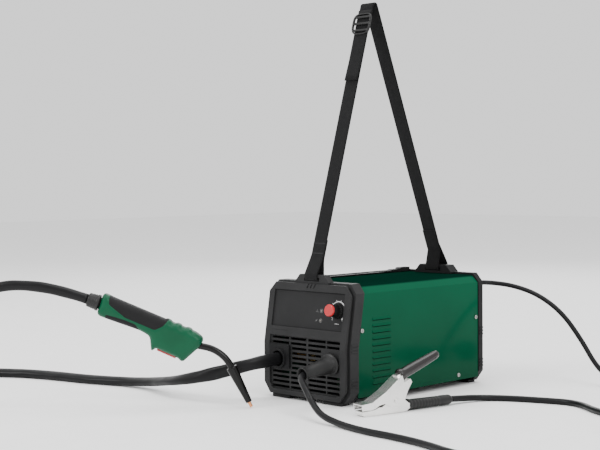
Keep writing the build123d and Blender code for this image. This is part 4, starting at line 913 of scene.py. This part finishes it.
green_shell, grip_shell = handle_meshes()
place(green_shell, "housing", "torch_green", "torch_handle_left", "torch_handle_right")
place(grip_shell, "housing", "grip_black", "torch_grips")


def torch_slab(name, outline, half, finish):
    """A flat piece in the torch's plane, as thick as twice half."""
    count = len(outline)
    points = [Vector(torch(x, z, near)) * MM for near in (-half, half) for x, z in outline]
    faces = [tuple(range(count)), tuple(range(count, 2 * count))[::-1]]
    for index in range(count):
        after = (index + 1) % count
        faces.append((index, count + index, count + after, after))
    return make_mesh(name, points, faces, finish, smooth=False)


trigger_out = Vector((TRIGGER_RUN.y, -TRIGGER_RUN.x))
trigger_out = trigger_out if trigger_out.y < 0 else -trigger_out
TRIGGER_DEPTH, TRIGGER_HALF, TOOTH_PITCH = 6.5, 4.8, 2.17
teeth = []
for index in range(15):
    for share, lift in ((0.15, 2.1), (0.35, 2.9), (0.7, 2.9), (0.9, 2.1)):
        teeth.append(TRIGGER_START + TRIGGER_RUN * (index + share) * TOOTH_PITCH
                     + trigger_out * lift)
teeth += [TRIGGER_END - trigger_out * TRIGGER_DEPTH, TRIGGER_START - trigger_out * TRIGGER_DEPTH]
trigger = place(torch_slab("trigger", teeth, TRIGGER_HALF, "trigger_red"), "trigger",
                "trigger_red", "torch_trigger")
bevelled(trigger, 0.3 * MM, 2)

collar_start = Vector(torch(-237, 168.5)) * MM
collar_end = Vector(torch(-237 - 0.945 * 20, 168.5 + 0.326 * 20)) * MM
place(lathe("torch_collar_sleeve", collar_start, collar_end,
            [(-3, 8.6), (1, 9.1), (1.2, 12.6), (2, 13.1), (5, 13.1), (5.8, 12.4), (6.6, 11.4),
             (7.4, 12.2), (9.4, 12.2), (10.2, 11.2), (11, 11.9), (13, 11.9), (13.8, 10.9),
             (14.6, 11.5), (18.6, 11.2), (19.6, 10.6), (20, 9.6), (20, 8.2)],
            "rubber_black"), "housing", "rubber_black", "torch_collar")
ring_start = Vector(torch(-29.7, 63.9)) * MM
ring_end = Vector(torch(1.0, 1.8)) * MM
place(lathe("nozzle_ring", ring_start, ring_end,
            [(-1.6, 5.6), (-1.6, 8.2), (-1.2, 8.8), (1.0, 8.9), (1.4, 8.5), (1.4, 5.6)],
            "neck_black"), "housing", "neck_black")


# ---- earth clamp grips -------------------------------------------------------------------

CLAMP_AT, CLAMP_TURN = (159.3, -203.5), radians(78)


def clamp(x, z):
    """A point of the clamp's own plane, in metres."""
    return mm(CLAMP_AT[0] + x * cos(CLAMP_TURN), CLAMP_AT[1] + x * sin(CLAMP_TURN), z)


lower_grip = [(-0.5, 7.2), (-0.5, 8.5), (0.5, 9.1), (3, 9.0), (5.5, 8.3), (8, 7.6)]
for index in range(9):
    lower_grip += [(10 + 6 * index, 8.2 - 0.05 * index), (13 + 6 * index, 8.2 - 0.05 * index),
                   (14.5 + 6 * index, 7.5 - 0.05 * index)]
lower_grip += [(66, 7.9), (76, 8.1), (79, 7.6), (83, 7.9), (86, 7.2), (88, 6.0), (88, 5.0)]
place(lathe("clamp_lower_grip", clamp(77, 9.2), clamp(165, 9.2), lower_grip, "rubber_black",
            squash=1.12),
      "housing", "rubber_black", "clamp_lower_sleeve")
upper_grip = [(0, 8.0), (0, 9.6), (1.5, 10.4), (5, 10.1), (8, 8.8), (12, 8.6), (30, 8.5),
              (50, 8.0), (68, 7.3), (76, 6.8), (80, 5.9), (82, 4.0), (82.4, 1.0)]
place(lathe("clamp_upper_grip", clamp(63, 55.8), clamp(140, 84.8), upper_grip, "grip_gloss"),
      "clamp_jaw", "rubber_black", "clamp_upper_sleeve")


# ---- boot and knob -----------------------------------------------------------------------

boot_way = Vector((0, -1, -0.15)).normalized()
boot_start = mm(60.5, -178, 67)
place(lathe("lead_boot", boot_start, boot_start + boot_way,
            [(-8, 8.7), (-1.2, 8.7), (-1.2, 16.4), (0, 18), (2.4, 18), (3.4, 17.2), (3.8, 15.4),
             (6.2, 15.2), (7.2, 14.8), (7.6, 13.9), (9.6, 14.3), (10.4, 13.9), (20, 13.0),
             (34, 11.6), (46, 10.1), (54, 9.4), (60, 9.8), (64, 11.0), (65.5, 11.3), (66.4, 10.9),
             (64, 9.2), (60, 7.4), (54, 5.8), (50, 5.1)], "rubber_black"),
      "housing", "rubber_black", "earth_boot")

PLATE_OUT = Vector((0, -0.986652, 0.162845))
PLATE_UP = Vector((0, 0.162845, 0.986652))
KINK, SLOPE = 91, 1.01353       # height where the face leans back, and its length per mm of height
PLATE_THICK = 1.6
KNOB_START = mm(66, -164.15, 150.349)
place(lathe("knob_grip", KNOB_START + PLATE_OUT * 1.9 * MM, KNOB_START + PLATE_OUT,
            [(0, 11.2), (0.2, 12.2), (1.0, 12.4), (2.0, 12.2), (3.4, 11.2), (5.0, 10.4),
             (8.0, 10.0), (17.4, 9.6), (18, 9.2)], "knob_black", 108, 18, 0.9),
      "knob", "knob_black", "knob_body")


def plate_point(x, z, lift=0.06):
    """A point just proud of the control plate, from its X and its height above the floor."""
    up = (z - KINK) * SLOPE
    return mm(x, -174.053, 90.3486) + (PLATE_UP * up + PLATE_OUT * (PLATE_THICK + lift)) * MM


def face_point(x, z, lift=0.06):
    """A point just proud of the front cover's leaning face."""
    up = (z - KINK) * SLOPE
    return mm(x, -178, KINK) + (PLATE_UP * up + PLATE_OUT * lift) * MM


def strip(line, width, closed=False):
    """The two edges of a flat mark along a line of X and Z."""
    sides = []
    count = len(line)
    for index in range(count):
        before = line[index - 1] if closed else line[max(index - 1, 0)]
        after = line[(index + 1) % count] if closed else line[min(index + 1, count - 1)]
        way = Vector(after) - Vector(before)
        wide = width(index / max(1, count - 1)) if callable(width) else width
        side = Vector((-way.y, way.x)).normalized() * wide / 2
        sides.append((Vector(line[index]) + side, Vector(line[index]) - side))
    return sides


def marks(name, strips, surface, finish, slot):
    """Flat printed marks on one of the front's surfaces."""
    points, faces = [], []
    for sides, closed in strips:
        first = len(points)
        for left, right in sides:
            points += [surface(*left), surface(*right)]
        count = len(sides)
        for index in range(count if closed else count - 1):
            after = (index + 1) % count
            faces.append((first + 2 * index, first + 2 * index + 1,
                          first + 2 * after + 1, first + 2 * after))
    return place(make_mesh(name, points, faces, finish, smooth=False), "housing", slot)


def around(centre, radius, first, last, count):
    return [(centre[0] + radius * cos(radians(first + (last - first) * step / count)),
             centre[1] + radius * sin(radians(first + (last - first) * step / count)))
            for step in range(count + 1)]


KNOB_CENTRE = (66, 151)
SCALE_FROM, SCALE_TO, TICKS = 232, -52, 10      # degrees
band = around(KNOB_CENTRE, 15.6, SCALE_FROM, SCALE_TO, 40)
scale_marks = [(strip(band, lambda share: 0.5 + 1.7 * share), False)]
for step in range(TICKS):
    way = SCALE_FROM - (SCALE_FROM - SCALE_TO) * step / (TICKS - 1)
    scale_marks.append((strip(around(KNOB_CENTRE, 17.6, way - 1.4, way + 1.4, 1), 1.5), False))
for x in (-3.2, 0, 3.2):
    scale_marks.append((strip([(66 + x - 1, 131.2), (66 + x + 1, 131.2)], 0.9), False))
lamp_signs = [
    (strip([(18.6, 147.6), (22.8, 147.6), (20.7, 151.4)], 0.55, True), True),
    (strip([(18.8, 132), (20.3, 135), (20.5, 132.6), (22.2, 136)], 0.6), False),
    (strip(around((30, 149.5), 3.0, 0, 330, 11), 0.45, True), True),
    (strip(around((30, 134), 3.0, 0, 330, 11), 0.45, True), True),
]
marks("scale_marks", scale_marks, plate_point, "print_white", "lamp_lens")
marks("lamp_signs", lamp_signs, plate_point, "print_grey", "lamp_lens")
label = [(-76, 103), (-40, 103), (-40, 113), (-76, 113)]
marks("label_edge", [(strip(label, 0.7, True), True)], face_point, "cover_black", "cover_black")


# ---- dark sheet of painted shade behind the door's louvres -------------------------------

# painted shade: a dark sheet behind the door's louvres keeps daylight from showing through the
# housing
SCREEN_X, SCREEN_Y, SCREEN_Z = (-91.9, -91.3), (-129, -81), (53, 134)
screen_corners = [mm(x, y, z) for x in SCREEN_X for y in SCREEN_Y for z in SCREEN_Z]
screen_faces = [(0, 1, 3, 2), (4, 6, 7, 5), (0, 4, 5, 1), (2, 3, 7, 6), (0, 2, 6, 4), (1, 5, 7, 3)]
place(make_mesh("door_shade_sheet", screen_corners, screen_faces, "webbing", smooth=False), "door",
      "webbing")


# ---- floor -------------------------------------------------------------------------------

floor = make_mesh("floor", [(-8, -8, 0), (8, -8, 0), (8, 8, 0), (-8, 8, 0)], [(0, 1, 2, 3)],
                  "floor", smooth=False)
